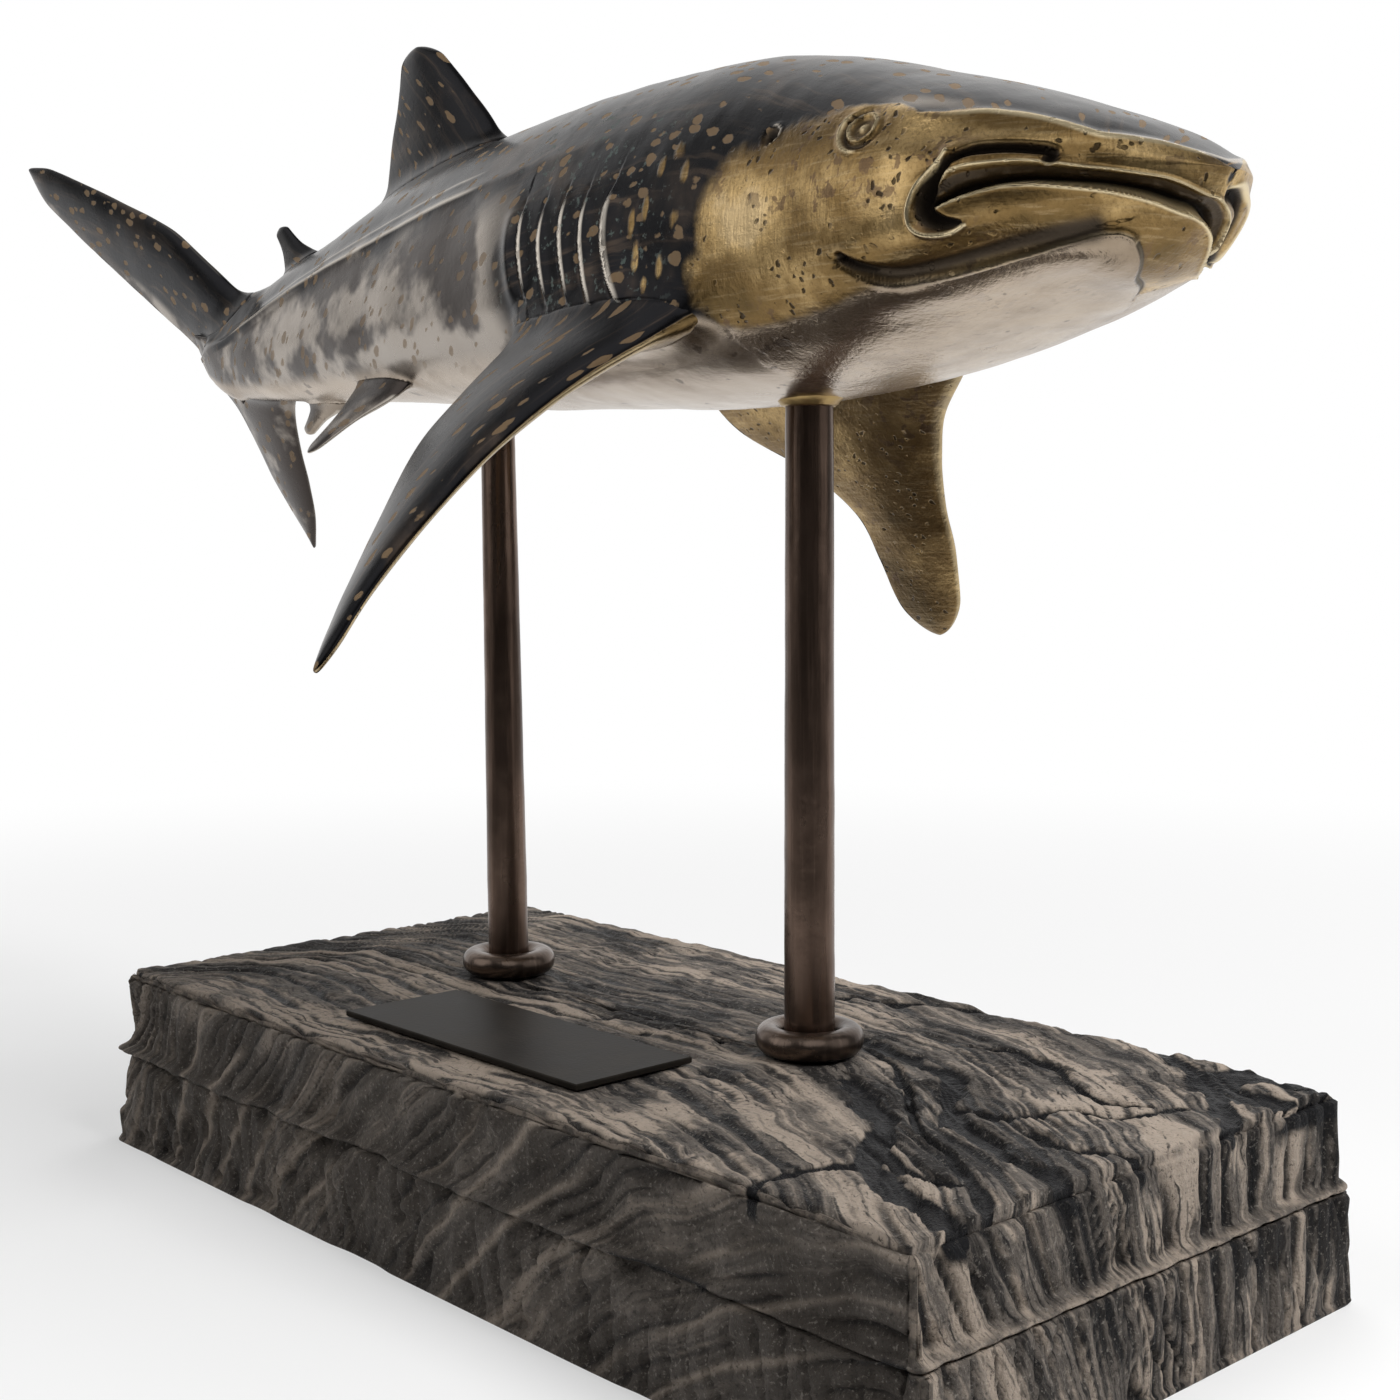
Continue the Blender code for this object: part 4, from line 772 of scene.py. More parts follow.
def body_grid(f, turn, fins):
    """The finished skin on a grid, its normals, what the finish reads, and its unwrapping.

    The skin rises by the head's and gills' detail, noise, the flank's lumps, twin lines by the ridge
    and fillets to the fins. The brass ends at a ragged line with bell-shaped spots past it. The pale
    belly lies past its edge and on the throat plate. The tone, painted light and shade, is a sum of
    bells at the placed lighter and darker places. The head's and gills' shares paint shade in the
    hollows and highlights on rims and edges; the twin lines are painted highlights too, and a painted
    sheen patch on the head's top joins the polished flank. The unwrapping is in metres, along the body
    and round it.
    """
    ff, tt = np.broadcast_arrays(f[:, None], turn[None, :])
    points = skin(ff, tt)
    normals = grid_normals(points, True)
    left = (tt < 1) | (tt > 3)
    mirrored = points.copy()
    mirrored[left, 1] = 2 * BODY_Y - mirrored[left, 1]
    facing = normals.copy()
    facing[left, 1] *= -1
    near_turn = np.where(tt < 1, 2 - tt, np.where(tt > 3, 6 - tt, tt))
    left_share = fade(np.abs(tt - 2), 1.0, 1.15)
    rise, dark, painted_highlight, plate = head_detail(points, normals, mirrored, facing, left_share, ff)
    gill_rise, gill_painted_shade, gill_painted_highlight = gill_detail(mirrored, facing)
    rise = rise + gill_rise
    dark = np.maximum(dark, gill_painted_shade)
    painted_highlight = np.maximum(painted_highlight, gill_painted_highlight)
    flank = fade(ff, 0.43, 0.47) * fade(ff, 0.80, 0.62) * fade(near_turn, 1.5, 1.75) * fade(near_turn, 2.5, 2.2)
    waves = 0.12 * MM * np.sin((ff - 0.46) * 80 + 2.0 * (near_turn - 2))
    rise = rise + flank * (waves + 0.4 * MM * lumps(points, 21 * MM, 4))
    # Twin lines by the ridge, raised a little and painted as highlights
    crest_share = fade(ff, 0.47, 0.55) * fade(ff, 0.95, 0.90)
    twin = np.exp(-((near_turn - 1.60) / 0.016) ** 2) + 0.8 * np.exp(-((near_turn - 1.525) / 0.014) ** 2)
    rise = rise + 0.22 * MM * crest_share * twin
    painted_highlight = np.maximum(painted_highlight, 0.75 * crest_share * twin)
    rise = rise + 0.10 * MM * lumps(points, 9 * MM, 3) + 0.05 * MM * lumps(points, 3.5 * MM, 5)
    for fin in fins.values():
        span_low = np.minimum(fin["root"], fin["root"] + 0.3 * fin["span"]) - 1.2 * fin["chord"]
        span_high = np.maximum(fin["root"], fin["root"] + 0.3 * fin["span"]) + 1.2 * fin["chord"]
        pick = np.all((points > span_low) & (points < span_high), -1)
        rise[pick] += swell_to(points[pick], normals[pick], lambda q: blade_distance(fin, q), fin["blend"])
    fresh = points + normals * rise[:, :, None]
    edge_noise = lumps(points, 5 * MM, 11) * 0.6 + lumps(points, 2 * MM, 12) * 0.4
    gold_edge = smooth(GOLD_TOP, 1, ff)
    soft = 0.025 + 0.13 * fade(ff, 0.15, 0.20)
    gold = fade(near_turn + 0.03 * edge_noise, gold_edge - soft, gold_edge + soft)
    gold = gold * fade(ff + 0.010 * edge_noise + 0.02 * fade(near_turn, 2.1, 2.5), GOLD_REAR + 0.020,
                       GOLD_REAR - 0.020)
    ragged = 1 + 0.35 * lumps(points, 1.5 * MM, 14)
    for at_f, at_turn in BORDER_SPOTS:
        away = ((ff - at_f) / 0.0034) ** 2 + ((near_turn - at_turn) / 0.042) ** 2
        gold = np.maximum(gold, 0.8 * np.exp(-(away * ragged) ** 1.5))
    at_edge = near_turn + 0.02 * edge_noise - smooth(BELLY_EDGE, 1, ff)
    wide = 0.03 + 0.09 * fade(ff, 0.30, 0.50)
    belly = fade(at_edge, -wide, wide)
    throat = np.where(plate < 0, fade(near_turn, 2.45, 2.60) * fade(ff, 0.05, 0.07), plate)
    belly = belly + (throat - belly) * fade(ff, 0.165, 0.135)
    slow_noise = lumps(points, 13 * MM, 13)
    # The polished flank, and a painted highlight of sheen on the head's top by the brow
    polish_and_highlight = fade(ff + 0.02 * slow_noise, 0.445, 0.485) * fade(near_turn + 0.10 * slow_noise, 1.58, 1.74)
    painted_sheen_patch = np.exp(-((ff - 0.122) / 0.024) ** 2 - ((near_turn - 1.555) / 0.045) ** 2)
    polish_and_highlight = np.maximum(polish_and_highlight, 0.85 * painted_sheen_patch * fade(near_turn, 1.66, 1.62))
    # Painted light and shade: the tone sums the bells of painted highlight and painted shade listed at the top
    tone = np.zeros(ff.shape)
    for at_f, at_turn, reach_f, reach_turn, strength in PAINTED_LIGHT_AND_SHADE:
        tone += strength * np.exp(-((ff - at_f) / reach_f) ** 2 - ((near_turn - at_turn) / reach_turn) ** 2)
    verdigris = fade(ff, 0.27, 0.33) * fade(ff, 0.50, 0.42)
    verdigris = verdigris * fade(near_turn, 1.35, 1.55) * fade(near_turn, 2.3, 2.0)
    extra = {"gold": gold, "belly": belly, "polish_and_highlight": polish_and_highlight, "dark": dark, "painted_highlight": painted_highlight,
             "verdigris": verdigris, "tone": tone}
    section = np.concatenate([points, points[:, :1]], 1)
    step = np.linalg.norm(np.diff(section, axis=1), axis=2)
    girth = np.concatenate([np.zeros((len(f), 1)), np.cumsum(step, 1)], 1)
    uv = np.stack([ff * BODY_LENGTH, girth[:, :-1] - girth[:, :1]], -1)
    return fresh, grid_normals(fresh, True), extra, uv


class Graph:
    """Short hand for a material's nodes: each method adds a node and hands back its output."""

    def __init__(self, name):
        self.material = bpy.data.materials.new(name)
        self.material.use_nodes = True
        self.tree = self.material.node_tree
        self.shader = self.tree.nodes["Principled BSDF"]

    def feed(self, value, socket):
        if isinstance(value, bpy.types.NodeSocket):
            self.tree.links.new(value, socket)
        elif socket.type == "RGBA":
            socket.default_value = (*value[:3], 1.0)
        else:
            socket.default_value = value

    def node(self, kind, inputs=(), output=0, **settings):
        made = self.tree.nodes.new(kind)
        for key, value in settings.items():
            setattr(made, key, value)
        for key, value in dict(inputs).items():
            self.feed(value, made.inputs[key])
        return made.outputs[output]

    def maths(self, operation, a, b=0.0, c=0.0):
        return self.node("ShaderNodeMath", {0: a, 1: b, 2: c}, operation=operation)

    def times(self, a, b):
        return self.maths("MULTIPLY", a, b)

    def plus(self, a, b):
        return self.maths("ADD", a, b)

    def most(self, a, b):
        return self.maths("MAXIMUM", a, b)

    def blend(self, share, a, b):
        return self.node("ShaderNodeMix", {0: share, 6: a, 7: b}, output=2, data_type="RGBA")

    def scaled(self, share, a, b):
        return self.node("ShaderNodeMix", {0: share, 2: a, 3: b}, data_type="FLOAT")

    def fade(self, value, low, high, start=0.0, end=1.0):
        return self.node("ShaderNodeMapRange", {0: value, 1: low, 2: high, 3: start, 4: end},
                         interpolation_type="SMOOTHSTEP")

    def place(self):
        return self.node("ShaderNodeTexCoord", output="Object")

    def unwrapped(self):
        return self.node("ShaderNodeUVMap", uv_map="skin")

    def value(self, name):
        return self.node("ShaderNodeAttribute", output="Fac", attribute_name=name)

    def stretch(self, at, scale, turn=(0, 0, 0)):
        return self.node("ShaderNodeMapping", {"Vector": at, "Scale": scale, "Rotation": turn})

    def noise(self, at, scale, detail=2.0, roughness=0.5, distortion=0.0, output="Fac"):
        return self.node("ShaderNodeTexNoise", {"Vector": at, "Scale": scale, "Detail": detail,
                                                "Roughness": roughness, "Distortion": distortion}, output)

    def cells(self, at, scale, randomness=1.0, output="Distance"):
        return self.node("ShaderNodeTexVoronoi", {"Vector": at, "Scale": scale, "Randomness": randomness},
                         output)

    def shifted(self, at, amount, scale):
        cloud = self.noise(at, scale, 2, output="Color")
        centred = self.node("ShaderNodeVectorMath", {0: cloud, 1: (0.5, 0.5, 0.5)}, operation="SUBTRACT")
        small = self.node("ShaderNodeVectorMath", {0: centred, "Scale": amount}, operation="SCALE")
        return self.node("ShaderNodeVectorMath", {0: at, 1: small}, operation="ADD")

    def bump(self, height, distance, strength):
        return self.node("ShaderNodeBump", {"Height": height, "Distance": distance, "Strength": strength})

    def finish(self, **sockets):
        for key, value in sockets.items():
            self.feed(value, self.shader.inputs[key.replace("_", " ").title().replace("Ior", "IOR")])
        return self.material


def bronze(name, look):
    """Shark's skin: dark patina with copper spots, brassy head, pale belly, all from the mesh's own
    shares and its unwrapping in metres along and round the body.

    Each layer is blended over the one before by its share: patina with streaks, the flank's thin
    patina, spots whose radius differs from cell to cell, brass with clouds, scratches and pits, the
    pale belly, then painted shade in the hollows and painted highlights on the rims. The tone, painted
    light and shade, moves the brass's and the flank's clouds."""
    g = Graph(name)
    at = g.place()
    uv = g.unwrapped()
    gold = g.plus(g.value("gold"), g.times(g.plus(g.noise(g.shifted(at, 0.004, 200), 210, 4, 0.65), -0.5), 0.6))
    gold = g.fade(gold, 0.26, 0.74)
    belly = g.value("belly")
    polish_and_highlight = g.value("polish_and_highlight")
    dark = g.value("dark")
    painted_highlight = g.value("painted_highlight")
    verdigris = g.value("verdigris")

    cloud = g.noise(at, 60, 4, 0.6)
    streaks = g.noise(g.stretch(g.shifted(uv, 0.003, 120), (30, 300, 1)), 1.0, 4, 0.65)
    patina = g.blend(g.times(g.fade(streaks, 0.52, 0.72), 0.45), look.patina, look.patina_brown)
    patina = g.blend(g.times(g.fade(cloud, 0.5, 0.75), 0.35), patina, look.patina_brown)
    # The tone is painted light and shade
    tone = g.value("tone")
    slow = g.noise(g.stretch(uv, (45, 60, 1)), 1.0, 3, 0.55)
    # The flank's patches of thin patina follow random noise, and also the tone's painted light and shade
    worn = g.plus(g.plus(g.times(cloud, 0.45), g.times(slow, 0.55)), g.times(tone, -0.15))
    metal = g.blend(g.fade(worn, 0.43, 0.55), look.flank, (0.062, 0.052, 0.047))
    colour = g.blend(polish_and_highlight, patina, metal)

    moved = g.shifted(uv, 0.0022, 260)
    stretched = g.stretch(moved, (200, 310, 1))
    spot = g.cells(stretched, 1.0, 0.82)
    lot = g.cells(stretched, 1.0, 0.82, "Color")
    size = g.node("ShaderNodeSeparateColor", {0: lot})
    radius = g.fade(size, 0.0, 0.8, 0.14, 0.38)
    ragged = g.plus(spot, g.times(g.noise(uv, 1100, 2), 0.14))
    soft_spots = g.fade(g.maths("SUBTRACT", radius, ragged), -0.06, 0.0)
    shown = g.times(soft_spots, g.maths("SUBTRACT", 1.0, g.most(belly, gold)))
    shown = g.times(shown, g.scaled(polish_and_highlight, 1.0, 0.7))
    colour = g.blend(g.times(shown, 0.85), colour, look.spots)

    shade = g.noise(at, 46, 5, 0.62)
    brushed = g.noise(g.stretch(at, (110, 110, 1300), (0.2, 0.5, 0)), 1.0, 4, 0.65)
    hatched = g.noise(g.stretch(at, (1300, 1300, 150), (0.1, 0.25, 0.3)), 1.0, 3, 0.6)
    # toned is random clouds plus the tone's painted light and shade: high values paint deep brass and dark
    # olive, low values light brass, in part painted shade and painted highlight
    toned = g.plus(shade, g.times(tone, -0.17))
    brass = g.blend(g.fade(toned, 0.37, 0.58), look.gold, look.gold_deep)
    brass = g.blend(g.times(g.fade(toned, 0.56, 0.78), 0.8), brass, (0.09, 0.062, 0.026))
    brass = g.blend(g.times(g.fade(brushed, 0.50, 0.68), 0.22), brass, (0.74, 0.57, 0.33))
    brass = g.blend(g.times(g.fade(hatched, 0.50, 0.72), 0.35), brass, (0.20, 0.125, 0.05))
    brass = g.blend(g.times(g.fade(g.noise(at, 1900, 3, 0.7), 0.50, 0.66), 0.4), brass, (0.16, 0.10, 0.04))
    brass = g.blend(g.times(g.fade(toned, 0.40, 0.28), 0.55), brass, (0.86, 0.66, 0.38))
    blotch = g.fade(g.noise(g.shifted(at, 0.004, 300), 250, 3, 0.6), 0.56, 0.61)
    where = g.fade(g.noise(at, 38, 1), 0.46, 0.60)
    brass = g.blend(g.times(g.times(blotch, where), 0.7), brass, (0.15, 0.095, 0.06))
    pale = g.blend(g.fade(shade, 0.4, 0.7), look.belly, (0.34, 0.27, 0.20))
    pale_spot = g.fade(g.noise(at, 230, 3), 0.66, 0.70)
    pale = g.blend(g.times(pale_spot, 0.6), pale, (0.10, 0.075, 0.06))
    pale = g.blend(g.times(g.fade(g.noise(at, 26, 3, 0.6), 0.48, 0.66), 0.4), pale, (0.26, 0.205, 0.16))
    colour = g.blend(belly, colour, pale)
    under = g.times(gold, g.maths("SUBTRACT", 1.0, g.times(belly, 0.88)))
    colour = g.blend(under, colour, brass)

    pits = g.cells(g.shifted(at, 0.003, 300), 430, 1.0)
    crowd = g.fade(g.noise(at, 85, 2), 0.47, 0.57)
    pit = g.times(g.fade(pits, 0.27, 0.17), g.times(crowd, under))
    colour = g.blend(g.times(pit, 0.85), colour, (0.02, 0.014, 0.01))
    speck = g.times(g.fade(g.noise(at, 520, 3, 0.6), 0.60, 0.68), verdigris)
    colour = g.blend(g.times(speck, 0.5), colour, look.verdigris)
    # Painted shade in the hollows: mouth brown, then near black in the deepest
    colour = g.blend(g.fade(dark, 0.05, 0.5), colour, (0.075, 0.058, 0.042))
    colour = g.blend(g.fade(dark, 0.45, 0.95), colour, look.painted_hollow_shade)
    # Painted highlight on rims, crests and edges
    rim = g.times(g.fade(painted_highlight, 0.25, 0.85), g.scaled(gold, 0.85, 0.9))
    colour = g.blend(rim, colour, g.blend(gold, (0.72, 0.66, 0.58), (0.86, 0.72, 0.46)))

    rough_now = g.scaled(gold, 0.23, 0.27)
    rough_now = g.scaled(belly, rough_now, 0.20)
    rough_now = g.scaled(polish_and_highlight, rough_now, 0.22)
    rough_now = g.plus(rough_now, g.times(g.noise(at, 160, 3), 0.10))
    rough_now = g.scaled(shown, rough_now, 0.55)
    rough_now = g.scaled(g.most(speck, g.fade(dark, 0.2, 0.8)), rough_now, 0.7)
    metallic = g.scaled(shown, 1.0, 0.5)
    metallic = g.scaled(speck, metallic, 0.0)
    fine = g.plus(g.times(g.noise(at, 700, 3, 0.6), 0.25), g.times(streaks, 0.35))
    fine = g.plus(fine, g.times(g.plus(g.times(brushed, 0.4), g.times(hatched, 0.6)), gold))
    fine = g.plus(fine, g.times(g.noise(at, 330, 4, 0.65), g.times(gold, 1.1)))
    height = g.maths("SUBTRACT", fine, g.plus(g.times(pit, 2.5), g.times(shown, 0.25)))
    normal = g.bump(height, 0.0003, 0.45)
    return g.finish(base_color=colour, metallic=metallic, roughness=rough_now, normal=normal)


def rod_bronze(name, colour, seed):
    """Brown bronze of the rods and rings, a little worn, with darker bands and fine lengthwise marks."""
    g = Graph(name)
    at = g.place()
    cloud = g.noise(g.stretch(at, (55, 55, 22)), 1.0 + 0.1 * seed, 3, 0.6)
    marks = g.noise(g.stretch(at, (900, 900, 30)), 1.0, 3)
    tint = g.blend(g.fade(cloud, 0.35, 0.68), colour, tuple(0.45 * c for c in colour))
    tint = g.blend(g.times(g.fade(marks, 0.5, 0.8), 0.4), tint, tuple(1.7 * c for c in colour))
    rough_now = g.plus(0.20, g.times(cloud, 0.18))
    normal = g.bump(g.plus(marks, g.noise(at, 300, 3)), 0.0002, 0.4)
    return g.finish(base_color=tint, metallic=0.95, roughness=rough_now, normal=normal)


def plate_metal(name, colour):
    """Nearly black bronze plate with a faint fine grain."""
    g = Graph(name)
    at = g.place()
    cloud = g.noise(at, 90, 4, 0.6)
    tint = g.blend(g.fade(cloud, 0.4, 0.7), colour, tuple(1.8 * c for c in colour))
    normal = g.bump(g.noise(at, 1500, 2), 0.0001, 0.3)
    return g.finish(base_color=tint, metallic=0.0, roughness=g.plus(0.36, g.times(cloud, 0.12)), normal=normal,
                    specular_ior_level=0.04)


def steel(name, shade):
    """Plain zinc-grey steel of the hidden nuts and washers."""
    g = Graph(name)
    at = g.place()
    cloud = g.noise(at, 400, 3)
    tint = g.blend(g.fade(cloud, 0.35, 0.7), (shade, shade, shade), (0.7 * shade,) * 3)
    return g.finish(base_color=tint, metallic=1.0, roughness=g.plus(0.32, g.times(cloud, 0.15)))


def marble(name, look):
    """Carved stone: layers whose number is stored on the mesh as strata, in metres across the layers.

    Colour is a function of that number: broad pale and grey layers, black veins, black painted as
    shade in the clefts, the carved ribs' grooves and under the broken step, and a dust of pale and
    dark grains. The plate's side face is darker, partly its own brown-grey stone and partly painted
    shade, with thin pale lines."""
    g = Graph(name)
    at = g.place()
    strata = g.value("strata")
    cut = g.value("cut")
    worn = g.value("worn")
    vein = g.value("vein")
    face = g.value("face")
    pale = g.value("pale")
    cloud = g.noise(at, 34, 4, 0.6)
    wobble = g.plus(strata, g.times(g.plus(g.noise(at, 95, 4, 0.6), -0.5), 0.0036))
    line = g.node("ShaderNodeCombineXYZ", {0: wobble, 1: g.times(cloud, 0.01), 2: 0.0})
    broad = g.noise(line, 95, 2, 0.6)
    fine = g.noise(line, 560, 2, 0.7)
    grain = g.noise(at, 1300, 3, 0.7)
    tone = g.plus(g.times(broad, 0.7), g.times(fine, 0.3))
    tone = g.plus(tone, g.times(g.plus(cloud, -0.5), 0.45))
    # The plate's side face is a little darker, painted shade
    tone = g.plus(tone, g.times(face, -0.06))
    colour = g.blend(g.fade(tone, 0.41, 0.48), look.stone_dark, look.stone_grey)
    colour = g.blend(g.fade(tone, 0.48, 0.57), colour, look.stone_pale)
    thread = g.times(g.fade(fine, 0.45, 0.38), g.fade(cloud, 0.40, 0.54))
    colour = g.blend(g.times(thread, 0.8), colour, look.vein)
    # The plate's side face: its own brown-grey stone, darker as painted shade
    side_face = g.blend(g.fade(cloud, 0.38, 0.62), look.stone_face, look.stone_grey)
    colour = g.blend(g.times(face, 0.62), colour, side_face)
    colour = g.blend(g.times(pale, 0.65), colour, look.stone_pale)
    # Painted shade, black, in the clefts, the rib grooves and under the broken step
    colour = g.blend(g.times(g.fade(cut, 0.15, 0.75), 0.93), colour, look.vein)
    crumb = g.blend(g.fade(g.noise(at, 210, 4, 0.65), 0.40, 0.60), look.stone_pale, look.stone_grey)
    colour = g.blend(g.times(g.fade(worn, 0.2, 0.9), 0.9), colour, crumb)
    colour = g.blend(g.fade(vein, 0.2, 0.6), colour, look.vein)
    salt = g.fade(grain, 0.56, 0.70)
    pepper = g.fade(grain, 0.44, 0.32)
    colour = g.blend(g.times(salt, g.scaled(vein, 0.28, 0.05)), colour, (0.46, 0.42, 0.37))
    colour = g.blend(g.times(pepper, 0.6), colour, (0.02, 0.019, 0.018))
    rough_now = g.scaled(g.most(g.fade(vein, 0.2, 0.7), g.fade(cut, 0.3, 0.8)), 0.6, 0.42)
    height = g.plus(g.times(fine, 0.6), g.plus(g.times(grain, 0.6), g.times(g.noise(at, 420, 3), 0.9)))
    normal = g.bump(height, 0.0011, 0.8)
    return g.finish(base_color=colour, roughness=rough_now, normal=normal, specular_ior_level=0.09)


def base_outline(count):
    """Points and outward directions round the base's rounded rectangle, evenly spaced, and the
    distance along it. It starts at the front right corner and runs up the +X side."""
    r = BASE_CORNER
    in_x = HALF_X - r
    in_y = HALF_Y - r
    flat_x = 2 * in_x
    flat_y = 2 * in_y
    arc = np.pi / 2 * r
    at = np.arange(count) / count * (2 * flat_x + 2 * flat_y + 4 * arc)
    points = np.zeros((count, 2))
    normal = np.zeros((count, 2))
    corners = ((in_x, in_y), (-in_x, in_y), (-in_x, -in_y), (in_x, -in_y))
    start = 0.0
    for k, side in enumerate((flat_y, flat_x, flat_y, flat_x)):
        way = np.pi / 2 * (k + 1)
        face = np.array([np.cos(way - np.pi / 2), np.sin(way - np.pi / 2)])
        run = np.array([np.cos(way), np.sin(way)])
        corner = np.array(corners[k])
        local = at - start
        on_side = (local >= 0) & (local < side)
        points[on_side] = corner - run * side + face * r + run * local[on_side][:, None]
        normal[on_side] = face
        local = local - side
        on_arc = (local >= 0) & (local < arc)
        turn = way - np.pi / 2 + local[on_arc] / r
        normal[on_arc] = np.stack([np.cos(turn), np.sin(turn)], -1)
        points[on_arc] = corner + r * normal[on_arc]
        start = start + side + arc
    return at, points, normal


# Black veins on the top of the stone, in millimetres from the base's middle, then half width
VEINS = (
    (((58, -2), (66, -8), (73, -14), (81, -19), (87, -27), (94, -37), (106, -43), (123, -48), (127, -50)), 1.7),
    (((91, -30), (96, -33), (102, -35), (110, -34)), 0.8),
    (((89, -61), (89, -53), (91, -44), (93, -37)), 1.0),
    (((38, 21), (51, 17), (62, 15), (70, 13), (77, 4), (82, -2), (88, -8), (97, -12), (105, -16), (117, -20),
      (127, -24)), 1.4),
    (((84, -2), (93, -2), (96, 7), (102, 12), (108, 16), (111, 27)), 0.9),
    (((46, 14), (55, 11), (62, 7), (69, 1), (75, -6), (82, -12), (89, -18), (106, -28), (123, -40)), 0.6),
    (((59, 32), (70, 35), (81, 31), (87, 25), (98, 20), (106, 22)), 0.6),
    (((12, 44), (25, 51), (44, 58), (65, 59), (79, 58), (93, 53), (109, 40), (123, 23)), 1.3),
    (((100, -3), (111, -6), (119, -4), (127, -3)), 0.8),
)


def strata_at(points):
    """Number of the layer at a point, in metres: the layers stand on edge along X, bend toward the
    plate's side past the front rod, lean on the head's end face and are folded by slow noise. On the
    plate's side face they run as arcs round a place under the head's end: steep, then nearly level."""
    x = points[..., 0]
    y = points[..., 1]
    z = points[..., 2]
    past = 14 * MM * np.log1p(np.exp(np.clip((x - 55 * MM) / (14 * MM), -30, 30)))
    lean = 0.35 * (BASE_HEIGHT - z) * fade(y, 10 * MM, -25 * MM) * fade(x, 90 * MM, 120 * MM)
    slow = 5.5 * MM * lumps(points, 46 * MM, 21) + 1.9 * MM * lumps(points, 15 * MM, 22)
    slow = slow + 0.5 * MM * lumps(points, 5 * MM, 25)
    front = fade(y, -58.8 * MM, -61 * MM)
    folds = np.hypot(x - 130 * MM, z + 90 * MM) + 2.2 * MM * lumps(points, 19 * MM, 23)
    ends = fade(x, -100 * MM, -122 * MM) * (0.5 * z + 5 * MM * lumps(points, 18 * MM, 24))
    return (y + 0.62 * past) * (1 - 0.85 * front) - lean + slow + front * folds + ends


def layer_relief(strata, points):
    """Depth of the clefts between layers, 0 to 1, and the black painted in them as shade: narrow bells
    at uneven spacings across the layers, wide ones and fine ones, stronger in some places than in
    others. The finest are left out near the base's edges, where the grid is too coarse for them."""
    depth = 0
    black = 0
    from_edge = np.minimum(127 * MM - np.abs(points[..., 0]), 63.5 * MM - np.abs(points[..., 1]))
    inner = fade(from_edge, 4 * MM, 18 * MM)
    for spacing, half, strength, size, seed in ((8.8 * MM, 1.25 * MM, 1.0, 24 * MM, 51),
                                                (4.4 * MM, 0.70 * MM, 0.55, 15 * MM, 52),
                                                (1.9 * MM, 0.30 * MM, 0.30 * inner, 11 * MM, 53)):
        t = strata / spacing + 0.33 * np.sin(strata / (1.7 * spacing))
        t = t + 0.21 * np.sin(strata / (0.61 * spacing) + 1)
        away = np.abs(t - np.floor(t) - 0.5) * spacing
        here = fade(lumps(points, size, seed), -0.45, 0.35)
        wide = half * (1 + 0.35 * lumps(points, 3 * MM, seed + 4))
        bell = np.exp(-(away / wide) ** 2) * here
        depth = np.maximum(depth, strength * bell)
        black = np.maximum(black, bell * np.minimum(1.0, 2.2 * strength))
    return depth, black


def vein_share(points):
    """1 on the black veins of the top, fading over their half width, and less on two mottled places
    of noise: the far corner at the head's end and beside the plate. It fades out down the sides."""
    flat = points[..., :2] / MM
    share = np.zeros(flat.shape[:-1])
    ragged = 0.9 * lumps(points, 4 * MM, 31) + 0.5 * lumps(points, 1.6 * MM, 32)
    bend = np.stack([lumps(points, 8 * MM, 33), lumps(points, 8 * MM, 34)], -1) * 1.1
    for line, half in VEINS:
        path = np.array(line, dtype=float)
        run = np.concatenate([[0], np.cumsum(np.linalg.norm(np.diff(path, axis=0), axis=1))])
        at = np.linspace(0, run[-1], 40)
        path = np.stack([smooth(np.stack([run, path[:, k]], -1), 1, at) for k in (0, 1)], -1)
        best = np.full(share.shape, 1e3)
        for k in range(len(path) - 1):
            d = path[k + 1] - path[k]
            t = np.clip(((flat + bend - path[k]) @ d) / (d @ d), 0, 1)
            gap = flat + bend - path[k] - t[..., None] * d
            best = np.minimum(best, np.hypot(gap[..., 0], gap[..., 1]))
        share = np.maximum(share, fade(best, half * (2.1 + 0.9 * ragged), half * (1.0 + 0.8 * ragged)))
    corner = fade(np.hypot(flat[..., 0] - 127, flat[..., 1] - 63), 46, 18)
    mottle = fade(rough(points, 7 * MM, 35), 0.35, -0.25)
    share = np.maximum(share, corner * mottle)
    beside = fade(np.hypot((flat[..., 0] - 12) / 1.8, flat[..., 1] + 14), 24, 12)
    share = np.maximum(share, 0.8 * beside * fade(rough(points, 5 * MM, 36), 0.15, 0.75))
    upper = fade(points[..., 2], BASE_HEIGHT - 9 * MM, BASE_HEIGHT - 2 * MM)
    return share * upper


